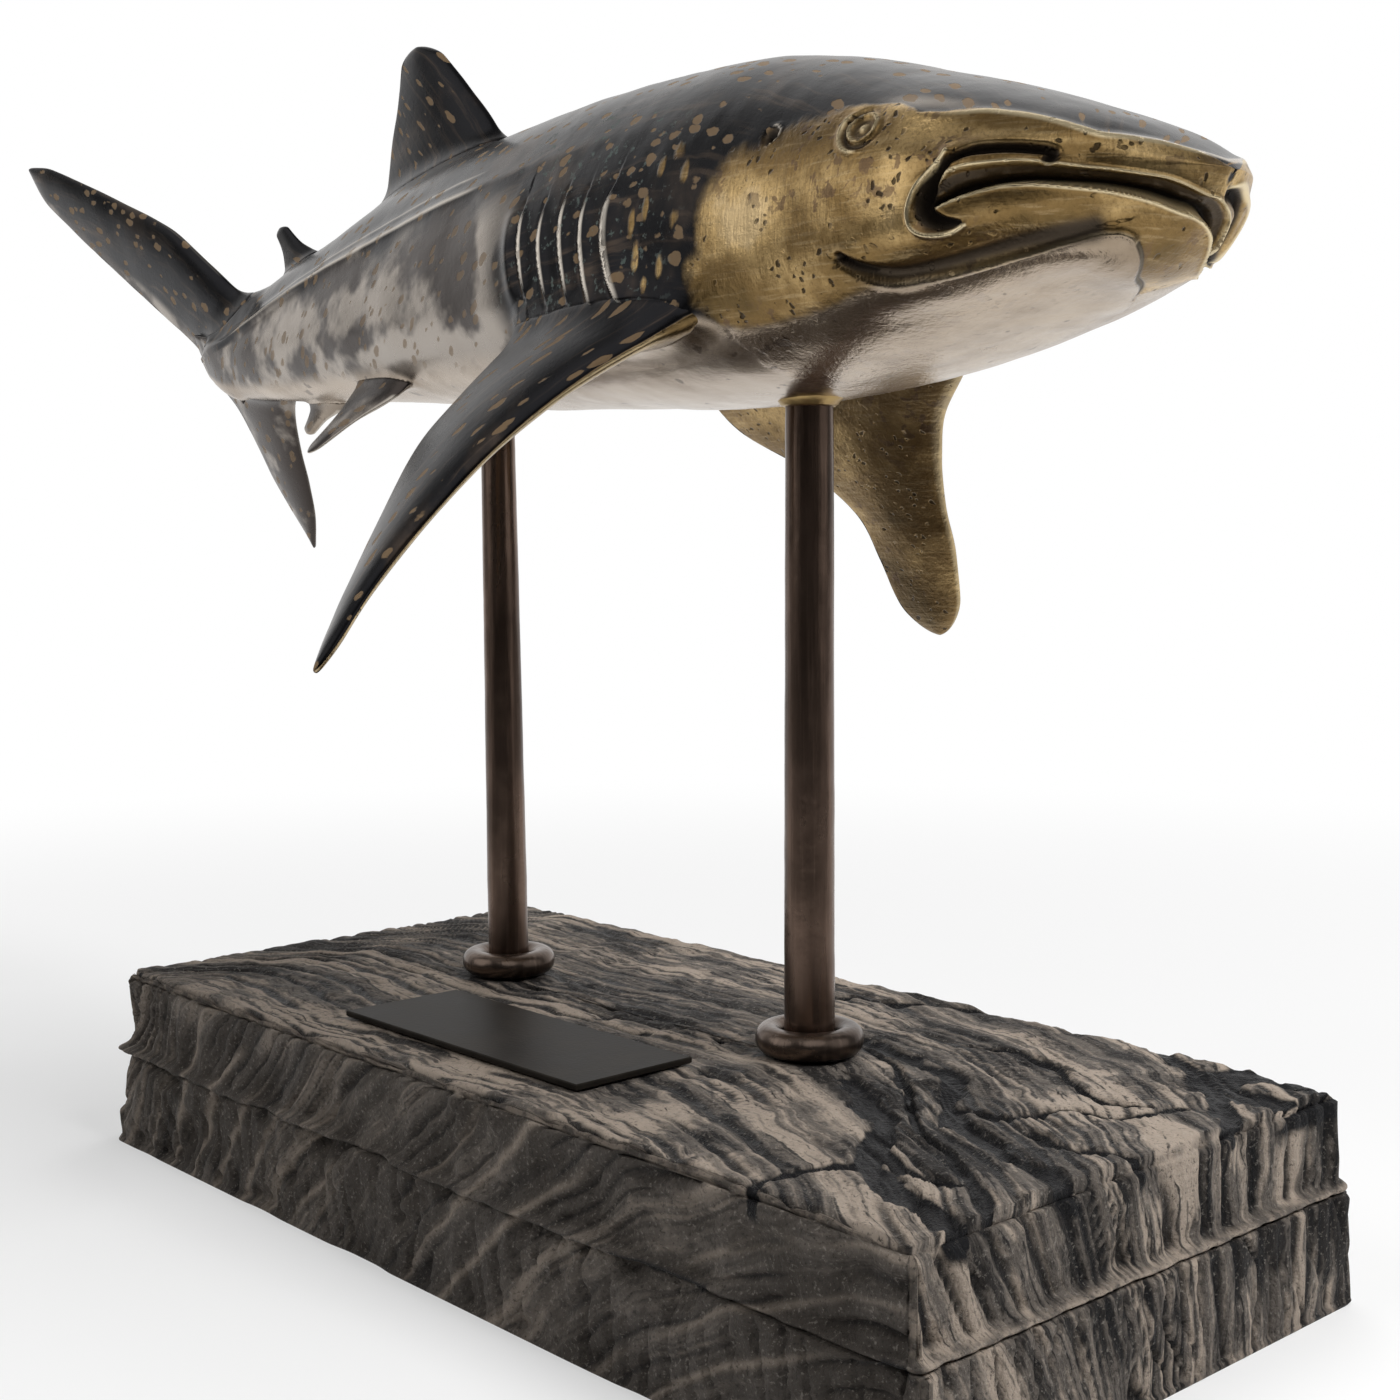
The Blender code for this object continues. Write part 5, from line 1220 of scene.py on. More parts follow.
def stone_grid(settings):
    """The carved stone as one grid of rows from its foot up the two steps, over the rounded top edge
    and across the top to its long middle line; columns run round the outline.

    Every point is moved in or down by the carved ridges, the layers' relief, the veins, the worn
    edge and chips, all functions of its place. On the plate's side the step has no bead and in
    places runs flush into the wall above it.
    """
    columns = settings.columns
    at, rim, out = base_outline(columns)
    high = BASE_HEIGHT
    step = STEP_HEIGHT
    lower_rows = 40
    upper_rows = 46
    edge_rows = 14
    top_rows = 72
    ledge = 6
    ease = 0.9 * MM               # rounding and height of the bead along the step
    z_low = np.concatenate([np.linspace(0, step - ease, lower_rows - ledge),
                            step - ease + ease * np.sin(np.linspace(0, np.pi / 2, ledge + 1)[1:])])
    z_up = step + (high - TOP_ROUND - step) * np.linspace(0, 1, upper_rows) ** 1.25
    bead = step + ease
    rounded = ease * (1 - np.cos(np.linspace(0, np.pi / 2, ledge + 1)[1:]))
    inset_low = ease * fade(z_low, ease, 0)
    inset_low[-ledge:] += rounded + np.linspace(0, 0.25, ledge) * MM
    bead_out = np.concatenate([np.zeros(lower_rows), ease * np.exp(-((z_up - bead) / (0.7 * MM)) ** 4),
                               np.zeros(edge_rows)])
    inset_up = np.full(upper_rows, STEP_INSET)
    turn = np.linspace(0, np.pi / 2, edge_rows + 1)[1:]
    inset_edge = STEP_INSET + TOP_ROUND * (1 - np.cos(turn))
    z_edge = high - TOP_ROUND + TOP_ROUND * np.sin(turn)
    z_side = np.concatenate([z_low, z_up, z_edge])
    inset = np.concatenate([inset_low, inset_up, inset_edge])
    plate_side = fade(rim[:, 1], -HALF_Y + 3.5 * MM, -HALF_Y + 1.5 * MM)
    places = np.sin(at / 0.0163) + np.sin(at / 0.0071 + 1)
    flush = plate_side * fade(rim[:, 0], 88 * MM, 45 * MM) * fade(places, -1.5, -0.4)
    even_wall = np.where(z_side < step, np.minimum(inset, 0.3 * MM),
                         inset * fade(z_side, step - 1 * MM, step + 10 * MM))
    wall = inset[:, None] + (even_wall - inset)[:, None] * flush - bead_out[:, None] * (1 - plate_side)
    side = rim[None] - out[None] * wall[:, :, None]
    side = np.concatenate([side, np.repeat(z_side[:, None, None], columns, 1)], -1)
    last = side[-1]
    middle = np.stack([np.clip(last[:, 0], -(HALF_X - HALF_Y), HALF_X - HALF_Y), np.zeros(columns),
                       np.full(columns, high)], -1)
    share = np.linspace(0, 1, top_rows + 1)[1:]
    share[-1] = 0.998
    top = last[None] + (middle - last)[None] * share[:, None, None]
    points = np.concatenate([side, top])
    rows = len(points)
    on_side = np.arange(rows) < lower_rows + upper_rows
    upward = np.concatenate([np.zeros(lower_rows + upper_rows), np.sin(turn), np.ones(top_rows)])
    outward = np.concatenate([np.ones(lower_rows + upper_rows), np.cos(turn), np.zeros(top_rows)])
    push = np.concatenate([out[None] * outward[:, None, None],
                           np.repeat(upward[:, None, None], columns, 1)], -1)

    strata = strata_at(points)
    # The clefts' depth, and the black painted in them as shade
    cleft, black = layer_relief(strata, points)
    veins = vein_share(points)
    z = points[..., 2]
    front = fade(points[..., 1], -58.8 * MM, -61 * MM)
    below = fade(z, step + 0.2 * MM, step - 0.6 * MM)
    wave = at[None] / 0.0056 + 0.8 * lumps(points, 14 * MM, 41) + (z - step) * 30
    rib = np.abs(wave - np.floor(wave) - 0.5) * 2
    rib_cut = fade(rib, 0.30, 0.02) * fade(lumps(points, 9 * MM, 42), -0.7, 0.1)
    tall = points * np.array([1, 1, 0.4])
    facets = 0.8 * np.abs(lumps(tall, 9 * MM, 40)) + 0.5 * np.abs(lumps(tall, 4.5 * MM, 39))
    seam = 4 * front * (1 - front)
    cleft = cleft * (1 - seam)
    black = black * (1 - seam)
    depth_side = settings.carve * (0.2 + 0.9 * cleft + 1.1 * facets)
    depth_side = depth_side * (1 - 0.35 * below) + settings.carve * 0.75 * below * rib_cut
    broken = fade(rough(points, 11 * MM, 43), 0.0, 0.7)
    depth_side = depth_side + front * settings.carve * 0.8 * broken
    lip = fade(z, step - 7 * MM, step - 1 * MM) * fade(z, step + 0.5 * MM, step - 0.2 * MM)
    depth_side = depth_side + front * STEP_INSET * 1.1 * broken * lip
    keep_foot = fade(z, 0, 1.5 * MM)
    keep_bead = 1 - 0.85 * np.exp(-((z - bead) / (1.0 * MM)) ** 2)
    depth_side = depth_side * keep_foot * keep_bead * outward[:, None]

    top_relief = settings.relief * (1.25 * cleft + 0.5 + 0.5 * lumps(points, 5 * MM, 44)
                                    + 0.25 * lumps(points, 1.8 * MM, 48))
    quiet = 1.0
    for foot_x in (FRONT_ROD[0], REAR_ROD[0]):
        away = np.hypot(points[..., 0] - foot_x, points[..., 1] - ROD_Y)
        quiet = quiet * fade(away, 10.5 * MM, 14 * MM)
    plate_low, plate_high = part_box("name_plate")
    from_plate = np.maximum(np.maximum(plate_low.x - points[..., 0], points[..., 0] - plate_high.x),
                            np.maximum(plate_low.y - points[..., 1], points[..., 1] - plate_high.y))
    quiet = quiet * fade(from_plate, 0, 4 * MM)
    depth_top = (top_relief * (0.25 + 0.75 * quiet) + veins * 1.3 * MM * quiet) * upward[:, None]

    around = np.minimum(at, at[-1] + at[1] - at)
    corner = np.exp(-(around / CORNER_REACH) ** 2)[None]
    edge = np.exp(-((z - (high - 0.2 * MM)) / (2.4 * MM)) ** 2)
    edge = edge * np.where(on_side[:, None], 1, outward[:, None] ** 0.5)
    chips = fade(rough(points, 9 * MM, 45), 0.0, 0.8)
    slow = 0.35 + 0.2 * np.sin(at / 0.031 + 1.0) + 0.15 * np.sin(at / 0.0127)
    wear = edge * (TOP_ROUND * 0.55 * np.clip(slow, 0.05, 1)[None] + 1.5 * MM * chips + 1.0 * MM * cleft)
    rounding = corner * CORNER_WEAR * (edge * 0.9)
    fallen = np.linalg.norm(points[..., :2] - np.array([HALF_X, -HALF_Y]), axis=-1)
    sunk = 1.6 * MM * np.exp(-(fallen / (17 * MM)) ** 2) * upward[:, None]
    depth = depth_side + depth_top + wear + rounding + sunk
    moved = points - push * depth[..., None]
    moved[..., 2] = np.clip(moved[..., 2], 0, high)
    moved[0, :, 2] = 0
    crumbs = fade(lumps(points, 6 * MM, 46), -0.5, 0.4)
    worn = np.clip(edge * 0.9 * (1 - 0.6 * chips) + corner * edge, 0, 1) * crumbs
    bead_line = np.exp(-((z - bead) / (0.9 * MM)) ** 2) * (1 - front) * on_side[:, None]
    worn = np.maximum(np.maximum(worn, 0.85 * bead_line), np.minimum(1, 1.3 * seam))
    # A band along the step: on the plate's side toward the head, where the lip is broken, it is painted as
    # shadow under the ledge
    gap = np.exp(-((z - (step + 0.2 * MM)) / (1.1 * MM)) ** 2) * on_side[:, None]
    # cut: painted shade, black, in the layers' clefts and the carved ribs' grooves below the step, and the
    # painted shadow under the broken ledge
    cut = np.maximum(black, 0.85 * rib_cut * below * on_side[:, None])
    toward_head = fade(points[..., 0], 15 * MM, 70 * MM)
    painted_ledge_shadow = front * gap * toward_head * fade(broken, 0.2, 0.6)
    cut = np.clip(np.maximum(cut * (1 - 0.45 * front), painted_ledge_shadow), 0, 1)
    cut = cut * (1 - bead_line) * (1 - 0.6 * worn)
    thin = strata / (10.5 * MM) + 0.4 * lumps(points, 30 * MM, 49)
    thin = np.abs(thin - np.floor(thin) - 0.5) * 10.5 * MM
    pale_lines = np.exp(-(thin / (0.8 * MM)) ** 2) * fade(lumps(points, 20 * MM, 50), -0.3, 0.3)
    extra = {"strata": strata, "cut": cut, "worn": worn, "vein": veins, "face": front,
             "pale": pale_lines * front}
    breaks = (0, lower_rows, lower_rows + upper_rows, rows)
    return moved, grid_normals(moved, True), extra, breaks


def colour(name, description, value):
    """Colour setting whose three parts run from 0 to 1."""
    return FloatVectorProperty(name=name, description=description, subtype="COLOR", size=3, default=value,
                               min=0, max=1)


class SharkSettings(bpy.types.PropertyGroup):
    """Colours of the casting."""

    patina: colour("Patina", "Nearly black skin of the back", (0.017, 0.017, 0.019))
    patina_brown: colour("Brown patina", "Brown streaks in the skin", (0.13, 0.095, 0.07))
    flank: colour("Flank", "Thin patina of the rear flanks", (0.36, 0.32, 0.28))
    spots: colour("Spots", "Copper spots", (0.235, 0.155, 0.082))
    gold: colour("Brass", "Rubbed brass of the head", (0.64, 0.445, 0.20))
    # Deep brass: random clouds, and also painted shade where the tone darkens the brass
    gold_deep: colour("Deep brass", "Darker clouds in the brass", (0.25, 0.16, 0.062))
    belly: colour("Belly", "Pale bronze of the belly", (0.50, 0.42, 0.34))
    verdigris: colour("Verdigris", "Green-grey specks", (0.14, 0.19, 0.17))
    # Painted shade in the deep parts of the mouth and gills
    painted_hollow_shade: colour("Hollows", "Deep parts of the mouth and gills", (0.018, 0.014, 0.011))


class MountSettings(bpy.types.PropertyGroup):
    """Colours of the rods, rings and plate."""

    rod: colour("Rods", "Brown bronze of the rods", (0.155, 0.105, 0.08))
    ring: colour("Rings", "Bronze of the foot rings", (0.14, 0.105, 0.085))
    plate: colour("Plate", "Dark bronze plate", (0.013, 0.011, 0.009))


class StoneSettings(bpy.types.PropertyGroup):
    """Colours and carving of the base."""

    stone_pale: colour("Pale layers", "Beige layers", (0.33, 0.275, 0.225))
    stone_grey: colour("Grey layers", "Grey layers", (0.11, 0.096, 0.084))
    stone_dark: colour("Dark layers", "Dark layers", (0.022, 0.020, 0.019))
    # Brown-grey of the plate's side, its darkness partly painted shade
    stone_face: colour("Side face", "Brown-grey of the plate's side", (0.075, 0.064, 0.054))
    vein: colour("Veins", "Black veins", (0.011, 0.011, 0.012))
    carve: FloatProperty(name="Carving", description="Depth of the ridges in the sides", unit="LENGTH",
                         default=0.0019, min=0, max=0.003)
    relief: FloatProperty(name="Relief", description="Depth of the layers on top", unit="LENGTH",
                          default=0.0008, min=0, max=0.002)
    columns: IntProperty(name="Columns", description="Points round the outline", default=900, min=200)


class StageSettings(bpy.types.PropertyGroup):
    """Floor and lamps."""

    floor: colour("Floor", "Floor colour", (0.80, 0.80, 0.80))
    key_power: FloatProperty(name="Key light", description="Power of the large soft lamp in watts",
                             default=13.0, min=0)
    fill_power: FloatProperty(name="Fill light", description="Power of the fill and back lamps in watts",
                              default=5.5, min=0)


def piece(made, *nodes, slot=None):
    """Rides the piece on the part and lets it stand for those nodes."""
    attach(made, "root")
    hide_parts(*nodes)
    return made


class FIGURINE_OT_body(bpy.types.Operator):
    """Head and trunk of the shark, two grids that share one row of points"""

    bl_idname = "figurine.body"
    bl_label = "Shark body"

    def execute(self, context):
        fins = all_blades()
        look = context.scene.shark
        paint = bronze("shark_bronze", look)
        first = 0.0002
        last = 0.9995
        long_way = np.linspace(0, 1, 3001)
        head = first + (HEAD_END - first) * long_way
        both = np.concatenate([skin(head, 2.0, 0.0), skin(head, 3.0, 0.0)], 1)
        f_head = first + (HEAD_END - first) * even(both, 272, 1 + 0.9 * (long_way < 0.45))
        turns = np.linspace(0, 4, 4001)
        ring = skin(0.08, turns, 0.0)
        near = np.where(turns < 1, 2 - turns, np.where(turns > 3, 6 - turns, turns))
        busy = 1 + 1.6 * fade(near, 1.55, 1.7) * fade(near, 2.65, 2.5)
        turn_head = 4 * even(ring, 361, busy)[:-1]
        rear = HEAD_END + (last - HEAD_END) * long_way
        gills = 1 + 4.2 * fade(rear, 0.30, 0.33) * fade(rear, 0.475, 0.455)
        f_trunk = HEAD_END + (last - HEAD_END) * even(skin(rear, 2.0, 0.0), 270, gills)
        f_all = np.concatenate([f_head, f_trunk[1:]])
        points, normals, extra, uv = body_grid(f_all, turn_head, fins)
        cut = len(f_head)
        for name, rows, caps in (("shark_head", slice(0, cut), (True, False)),
                                 ("shark_trunk", slice(cut - 1, None), (False, True))):
            made = grid_object(name, points[rows], paint, True, caps, normals[rows],
                               {key: value[rows] for key, value in extra.items()}, uv[rows])
            piece(made, "shark_body", slot="shark_body")
        return {"FINISHED"}


class FIGURINE_OT_fins(bpy.types.Operator):
    """All fins and both tail lobes, blades with filleted roots"""

    bl_idname = "figurine.fins"
    bl_label = "Fins"

    def execute(self, context):
        paint = bronze("fin_bronze", context.scene.shark)
        sizes = {"near_pectoral": (150, 160), "far_pectoral": (150, 160), "dorsal_fin": (90, 130),
                 "upper_tail_lobe": (150, 110), "lower_tail_lobe": (100, 100)}
        for name, fin in all_blades().items():
            rows, columns = sizes.get(name, (50, 60))
            points, s, u, face = blade_points(fin, rows, columns)
            normals = grid_normals(points, True)
            if np.sum((points - points.mean((0, 1))) * normals) < 0:
                normals = -normals
                points = points[:, ::-1]
                normals = normals[:, ::-1]
                u = u[::-1]
                face = face[::-1]
            rise = swell_to(points, normals, skin_distance, fin["blend"])
            rise = rise + 0.12 * MM * lumps(points, 8 * MM, 51) * fade(s, 1.0, 0.9)[:, None]
            points = points + normals * rise[:, :, None]
            uu, ff = np.broadcast_arrays(u[None], s[:, None])
            side = np.broadcast_to(face[None], uu.shape)
            outward = normals[..., 2]
            grown = fade(ff, 0.02, 0.12)
            front_rim = fade(uu, 0.10, 0.02)
            none = np.zeros_like(ff)
            gold = belly = polish_and_highlight = none
            # Painted highlights along the fins' front edges and round the tail lobes' edges
            painted_highlight = 0.25 * front_rim
            if "pectoral" in name:
                under = fade(outward, 0.05, -0.25)
                gold = under * 0.9
                belly = under * 0.15
                painted_highlight = 0.5 * front_rim * under
            elif "tail" in name:
                polish_and_highlight = none + 1.0 if "lower" in name else fade(uu, 0.80, 0.93)
                painted_highlight = 0.4 * fade(np.abs(uu - 0.5), 0.46, 0.5)
            elif "pelvic" in name or "anal" in name:
                belly = fade(outward, 0.1, -0.2) * 0.6
                polish_and_highlight = none + 0.7
                painted_highlight = 0.6 * front_rim
            extra = {"gold": gold, "belly": belly, "polish_and_highlight": polish_and_highlight, "dark": none,
                     "painted_highlight": painted_highlight * grown, "verdigris": none, "tone": none - 0.35}
            width = np.linalg.norm(points[:, :1] - points, axis=2)
            uv = np.stack([ff * fin["length"] + (side > 0) * 0.31, width], -1)
            made = grid_object(name, points, paint, True, (True, True), None, extra, uv)
            piece(made, "shark_body", slot="shark_body")
        return {"FINISHED"}


class FIGURINE_OT_rods(bpy.types.Operator):
    """The two rods with the brazed lips at their tops"""

    bl_idname = "figurine.rods"
    bl_label = "Rods"

    def execute(self, context):
        look = context.scene.mount
        for label, rod, seed in (("front", FRONT_ROD, 1), ("rear", REAR_ROD, 2)):
            low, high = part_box(label + "_rod")
            paint = rod_bronze(label + "_rod_bronze", look.rod, seed)
            foot_x, foot_r, top_r, lean = rod
            stud = STUD_RADIUS
            base = BASE_HEIGHT + GAP
            top_x = foot_x - lean
            neck = belly_z(top_x) - 1.0 * MM
            share = np.linspace(0, 1, 120)
            heights = base + (high.z - base) * share
            radii = foot_r + (top_r - foot_r) * np.clip((heights - base) / (neck - base), 0, 1)
            profile = [(stud - 0.6 * MM, low.z), (stud, low.z + 0.6 * MM), (stud, base - 0.01 * MM),
                       (stud, base), (foot_r - 0.4 * MM, base)] + list(zip(radii, heights))

            def centre(z, foot=foot_x, top=top_x, low_z=base, high_z=neck):
                return foot + (top - foot) * np.clip((z - low_z) / (high_z - low_z), 0, 1)

            made = lathe_object(label + "_rod_bar", profile, centre, ROD_Y, 72, paint, 0.12 * MM, 61)
            piece(made, label + "_rod", slot=label + "_rod")
            outer = top_r + 1.1 * MM
            belly = belly_z(top_x)
            lip = [(top_r + 0.05 * MM, belly - 1.0 * MM), (top_r + 0.35 * MM, belly - 1.15 * MM),
                   (outer - 0.1 * MM, belly - 0.8 * MM), (outer + 0.25 * MM, belly - 0.2 * MM),
                   (outer + 1.1 * MM, belly + 0.5 * MM), (outer + 1.2 * MM, belly + 2.6 * MM),
                   (top_r + 0.05 * MM, belly + 2.6 * MM)]
            braze = Graph(label + "_braze")
            cloud = braze.noise(braze.place(), 300, 3)
            paint = braze.finish(base_color=braze.blend(cloud, (0.50, 0.36, 0.15), (0.24, 0.15, 0.07)),
                                 metallic=1.0, roughness=0.36,
                                 normal=braze.bump(cloud, 0.0004, 0.5))
            made = lathe_object(label + "_braze_lip", lip, centre, ROD_Y, 72, paint, 0.25 * MM, 63)
            piece(made, "shark_body", slot="shark_body")
        return {"FINISHED"}


class FIGURINE_OT_rings(bpy.types.Operator):
    """The rounded rings at the rods' feet"""

    bl_idname = "figurine.rings"
    bl_label = "Foot rings"

    def execute(self, context):
        for label, rod in (("front", FRONT_ROD), ("rear", REAR_ROD)):
            x = rod[0]
            inner = rod[1] + GAP
            low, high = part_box(label + "_ring")
            outer = (high.x - low.x) / 2
            tall = high.z - low.z
            round_way = np.linspace(0, 2 * np.pi, 48, endpoint=False)
            middle = (inner + outer) / 2
            half = (outer - inner) / 2
            radius = middle + half * np.sign(np.cos(round_way)) * np.abs(np.cos(round_way)) ** 0.85
            height = low.z + tall / 2 + tall / 2 * np.sin(round_way)
            turn = np.linspace(0, 2 * np.pi, 96, endpoint=False)
            points = np.stack([x + radius * np.cos(turn)[:, None], ROD_Y + radius * np.sin(turn)[:, None],
                               np.broadcast_to(height, (96, 48))], -1)
            points = np.concatenate([points, points[:1]])
            paint = rod_bronze(label + "_ring_bronze", context.scene.mount.ring, 4)
            shape = points - np.array([0, 0, 0.08 * MM]) * (0.5 + 0.5 * lumps(points, 5 * MM, 71))[..., None]
            shape[..., 2] = np.clip(shape[..., 2], low.z, high.z)
            made = grid_object(label + "_ring_band", shape, paint, True)
            piece(made, label + "_ring", slot=label + "_ring")
        return {"FINISHED"}


class FIGURINE_OT_plate(bpy.types.Operator):
    """The bare dark plate on the base"""

    bl_idname = "figurine.plate"
    bl_label = "Plate"

    def execute(self, context):
        low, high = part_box("name_plate")
        edge = 0.28 * MM
        middle = np.array([(low.x + high.x) / 2, (low.y + high.y) / 2])
        half = np.array([(high.x - low.x) / 2, (high.y - low.y) / 2])
        side = np.linspace(-1, 1, 61)[:-1]
        one = np.ones(60)
        ring = np.concatenate([np.stack([side, -one], -1), np.stack([one, side], -1),
                               np.stack([-side, one], -1), np.stack([-one, -side], -1)])
        rows = []
        for inset, z in ((edge, low.z), (0, low.z + edge), (0, high.z - edge),
                         (0.1 * MM, high.z - 0.4 * edge), (edge, high.z), (1.2 * MM, high.z),
                         (5 * MM, high.z), (11 * MM, high.z), (13.4 * MM, high.z)):
            flat = middle + ring * (half - inset)
            rows.append(np.concatenate([flat, np.full((len(ring), 1), z)], 1))
        paint = plate_metal("plate_bronze", context.scene.mount.plate)
        made = grid_object("bare_plate", np.array(rows)[::-1], paint, True, (True, True))
        made.data.polygons.foreach_set("use_smooth", np.zeros(len(made.data.polygons), bool))
        piece(made, "name_plate", slot="name_plate")
        return {"FINISHED"}


class FIGURINE_OT_fixings(bpy.types.Operator):
    """Finish of the hidden nuts and washers, which stay as the solids"""

    bl_idname = "figurine.fixings"
    bl_label = "Nuts and washers"

    def execute(self, context):
        for name in ("front_washer", "rear_washer", "front_nut", "rear_nut"):
            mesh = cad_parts[name].data
            mesh.materials.clear()
            mesh.materials.append(steel(name + "_steel", 0.5 if "washer" in name else 0.42))
        return {"FINISHED"}


class FIGURINE_OT_stone(bpy.types.Operator):
    """The carved base, cut at its step and its top edge into three grids"""

    bl_idname = "figurine.stone"
    bl_label = "Stone base"

    def execute(self, context):
        points, normals, extra, breaks = stone_grid(context.scene.stone)
        paint = marble("carved_marble", context.scene.stone)
        names = ("stone_foot", "stone_shoulder", "stone_top")
        for k, name in enumerate(names):
            rows = slice(max(breaks[k] - 1, 0), breaks[k + 1])
            made = grid_object(name, points[rows], paint, True, (k == 0, k == 2), normals[rows],
                               {key: value[rows] for key, value in extra.items()})
            piece(made, "stone_base", slot="stone_base")
        return {"FINISHED"}


class FIGURINE_OT_stage(bpy.types.Operator):
    """Floor, reflection dome, lamps, world and camera"""

    bl_idname = "figurine.stage"
    bl_label = "Stage"

    def execute(self, context):
        look = context.scene.stage
        floor_and_world(look)
        reflection_dome()
        lamps(look)
        camera()
        context.scene.view_settings.view_transform = "Standard"
        return {"FINISHED"}


def floor_and_world(look):
    """Pale floor that keeps the shadow near the object and turns plain white farther out."""
    side = 6.0
    mesh = bpy.data.meshes.new("floor")
    corners = [(-side, -side, 0), (side, -side, 0), (side, side, 0), (-side, side, 0)]
    mesh.from_pydata(corners, [], [(0, 1, 2, 3)])
    floor = bpy.data.objects.new("floor", mesh)
    bpy.context.scene.collection.objects.link(floor)
    g = Graph("floor_paper")
    at = g.place()
    far = g.node("ShaderNodeVectorMath", {0: at}, output="Value", operation="LENGTH")
    path = g.tree.nodes.new("ShaderNodeLightPath")
    seen = g.most(path.outputs["Is Camera Ray"], g.most(path.outputs["Is Glossy Ray"],
                                                       path.outputs["Is Transmission Ray"]))
    side_way = g.node("ShaderNodeVectorMath", {0: at, 1: (-0.743, 0.669, 0.0)}, output="Value",
                      operation="DOT_PRODUCT")
    near_side = g.maths("MULTIPLY", g.fade(far, 0.24, 0.40), g.fade(side_way, 0.06, -0.10))
    gloom = g.times(g.times(near_side, path.outputs["Is Glossy Ray"]), 0.93)
    glow = g.node("ShaderNodeEmission", {"Color": (1.0, 1.0, 1.0), "Strength": g.maths("SUBTRACT", 1.0, gloom)})
    matt = g.node("ShaderNodeBsdfDiffuse", {"Color": tuple(look.floor)})
    share = g.times(seen, g.fade(far, 0.16, 0.75, 0.45, 1.0))
    mixed = g.node("ShaderNodeMixShader", {0: share, 1: matt, 2: glow})
    g.tree.links.new(mixed, g.tree.nodes["Material Output"].inputs["Surface"])
    mesh.materials.append(g.material)
    world = bpy.data.worlds.new("studio")
    bpy.context.scene.world = world
    world.use_nodes = True
    tree = world.node_tree
    ground = tree.nodes["Background"]
    path = tree.nodes.new("ShaderNodeLightPath")
    seen = path.outputs["Is Camera Ray"]
    for ray in ("Is Glossy Ray", "Is Transmission Ray"):
        most = tree.nodes.new("ShaderNodeMath")
        most.operation = "MAXIMUM"
        tree.links.new(seen, most.inputs[0])
        tree.links.new(path.outputs[ray], most.inputs[1])
        seen = most.outputs[0]
    level = tree.nodes.new("ShaderNodeMapRange")
    level.inputs["To Min"].default_value = 0.0
    level.inputs["To Max"].default_value = 1.0
    tree.links.new(seen, level.inputs["Value"])
    tree.links.new(level.outputs[0], ground.inputs["Strength"])
    ground.inputs["Color"].default_value = (1, 1, 1, 1)


def toward(azimuth, elevation):
    """Unit direction from the object: azimuth in degrees from +X toward +Y, then height."""
    a = np.radians(azimuth)
    e = np.radians(elevation)
    return (np.cos(a) * np.cos(e), np.sin(a) * np.cos(e), np.sin(e))


def placed(right, up, back, place):
    """Matrix of an object whose own axes point right, up and back and which stands at a place."""
    turn = np.eye(4)
    turn[:3] = np.stack([right, up, back, place], -1)
    return Matrix(turn.tolist())


def reflection_dome():
    """Studio walls that only reflections see: dark cards with soft boxes, white behind the object."""
    turn = np.linspace(0, 2 * np.pi, 49)[:-1]
    rise = np.linspace(-0.02, np.pi / 2 - 0.01, 14)
    radius = 3.0
    out = radius * np.cos(rise)[:, None]
    points = np.stack([out * np.cos(turn), out * np.sin(turn),
                       radius * np.sin(rise)[:, None] + 0 * turn], -1)
    g = Graph("studio_walls")
    at = g.place()
    way = g.node("ShaderNodeVectorMath", {0: at}, operation="NORMALIZE")

    def facing(azimuth, elevation):
        return g.node("ShaderNodeVectorMath", {0: way, 1: toward(azimuth, elevation)}, output="Value",
                      operation="DOT_PRODUCT")

    light = 0.03
    for azimuth, elevation, wide, soft, level in (
            (-118, 27, 17, 12, 1.15),
            (-35, 42, 15, 14, 1.0),
            (25, 22, 18, 12, 0.9),
            (-75, 88, 24, 26, 0.32)):
        spot = g.fade(facing(azimuth, elevation), np.cos(np.radians(wide + soft)), np.cos(np.radians(wide)))
        light = g.most(light, g.times(spot, level))
    behind = g.fade(facing(138, 8), 0.25, 0.6)
    light = g.most(light, behind)
    glow = g.node("ShaderNodeEmission", {"Color": (1.0, 0.99, 0.98), "Strength": light})
    g.tree.links.new(glow, g.tree.nodes["Material Output"].inputs["Surface"])
    dome = grid_object("studio_dome", points, g.material, True, (False, True))
    dome.visible_camera = False
    dome.visible_diffuse = False
    dome.visible_transmission = False
    dome.visible_shadow = False
    dome.visible_volume_scatter = False


def lamps(look):
    """Large soft lamps; reflections see the dome instead of them."""
    for name, azimuth, elevation, far, size, power in (
            ("key_lamp", 15, 48, 1.1, 0.55, look.key_power),
            ("fill_lamp", -110, 40, 1.2, 0.7, look.fill_power),
            ("back_lamp", 120, 60, 1.2, 0.7, look.fill_power)):
        light = bpy.data.lights.new(name, "AREA")
        light.shape = "DISK"
        light.size = size
        light.energy = power
        lamp = bpy.data.objects.new(name, light)
        bpy.context.scene.collection.objects.link(lamp)
        way = np.array(toward(azimuth, elevation))
        place = way * far + np.array([0, 0, 0.1])
        right = np.cross([0, 0, 1.0], way)
        right = right / np.linalg.norm(right)
        lamp.matrix_world = placed(right, np.cross(way, right), way, place)
        lamp.visible_camera = False
        lamp.visible_glossy = False


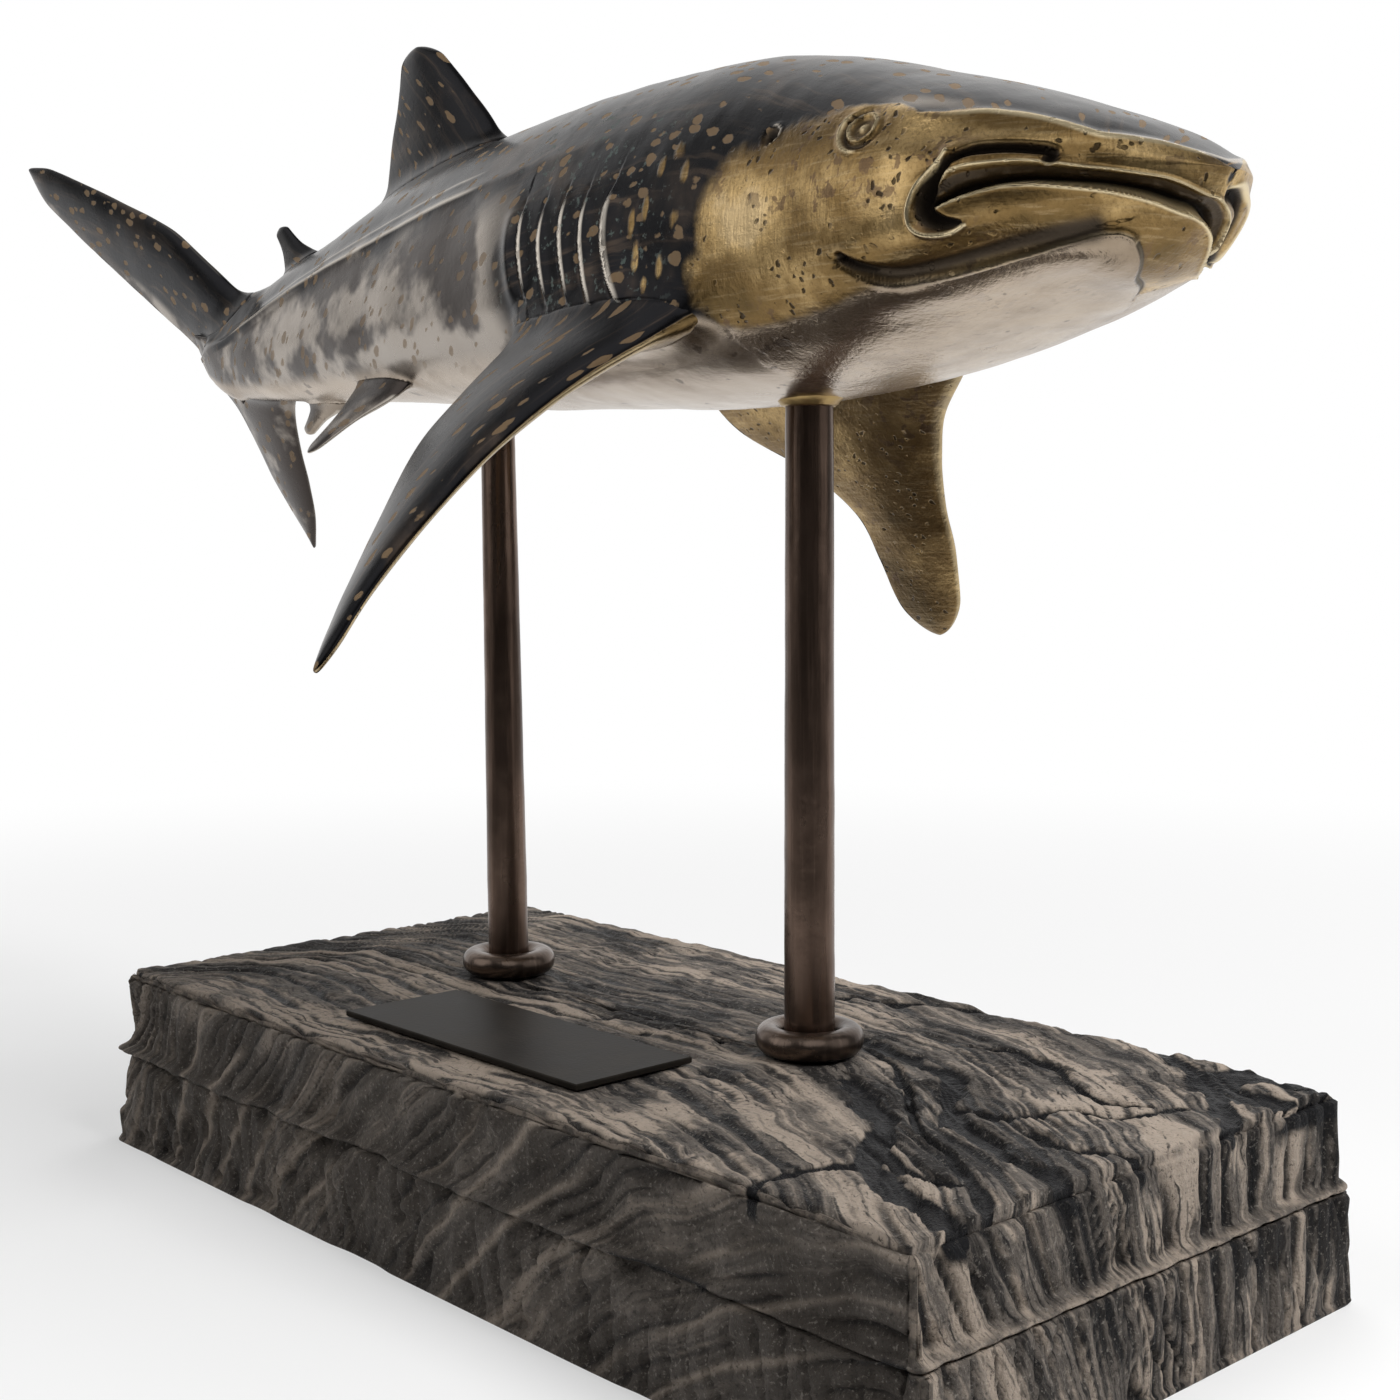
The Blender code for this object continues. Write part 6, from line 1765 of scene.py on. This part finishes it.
def camera():
    """Camera at the photograph's place, from the yaw, pitch and roll named at the top."""
    yaw = np.radians(CAMERA_YAW)
    pitch = np.radians(CAMERA_PITCH)
    roll = np.radians(CAMERA_ROLL)
    forward = np.array([np.cos(yaw) * np.cos(pitch), np.sin(yaw) * np.cos(pitch), np.sin(pitch)])
    level = np.array([np.sin(yaw), -np.cos(yaw), 0.0])
    upright = np.cross(level, forward)
    right = np.cos(roll) * level + np.sin(roll) * upright
    up = -np.sin(roll) * level + np.cos(roll) * upright
    data = bpy.data.cameras.new("photo_camera")
    data.sensor_width = SENSOR
    data.lens = FOCAL_PIXELS * SENSOR / PICTURE_SIDE
    data.shift_x = (PICTURE_SIDE / 2 - CENTRE_PIXEL[0]) / PICTURE_SIDE
    data.shift_y = (CENTRE_PIXEL[1] - PICTURE_SIDE / 2) / PICTURE_SIDE
    data.clip_start = 0.01
    data.clip_end = 100
    made = bpy.data.objects.new("photo_camera", data)
    bpy.context.scene.collection.objects.link(made)
    made.matrix_world = placed(right, up, -forward, CAMERA_PLACE)
    bpy.context.scene.camera = made


class FIGURINE_PT_panel(bpy.types.Panel):
    """Steps that build the figurine"""

    bl_label = "Figurine"
    bl_space_type = "VIEW_3D"
    bl_region_type = "UI"
    bl_category = "Figurine"

    def draw(self, context):
        for step in STEPS:
            self.layout.operator(step.bl_idname)


STEPS = (FIGURINE_OT_body, FIGURINE_OT_fins, FIGURINE_OT_rods, FIGURINE_OT_rings, FIGURINE_OT_plate,
         FIGURINE_OT_fixings, FIGURINE_OT_stone, FIGURINE_OT_stage)
GROUPS = (("shark", SharkSettings), ("mount", MountSettings), ("stone", StoneSettings),
          ("stage", StageSettings))


def register():
    for name, group in GROUPS:
        bpy.utils.register_class(group)
        setattr(bpy.types.Scene, name, PointerProperty(type=group))
    for step in (*STEPS, FIGURINE_PT_panel):
        bpy.utils.register_class(step)


def unregister():
    for step in (*STEPS, FIGURINE_PT_panel):
        bpy.utils.unregister_class(step)
    for name, group in GROUPS:
        delattr(bpy.types.Scene, name)
        bpy.utils.unregister_class(group)


def main():
    """Build every piece."""
    register()
    bpy.ops.figurine.body()
    bpy.ops.figurine.fins()
    bpy.ops.figurine.rods()
    bpy.ops.figurine.rings()
    bpy.ops.figurine.plate()
    bpy.ops.figurine.fixings()
    bpy.ops.figurine.stone()
    bpy.ops.figurine.stage()


if __name__ == "__main__":
    main()
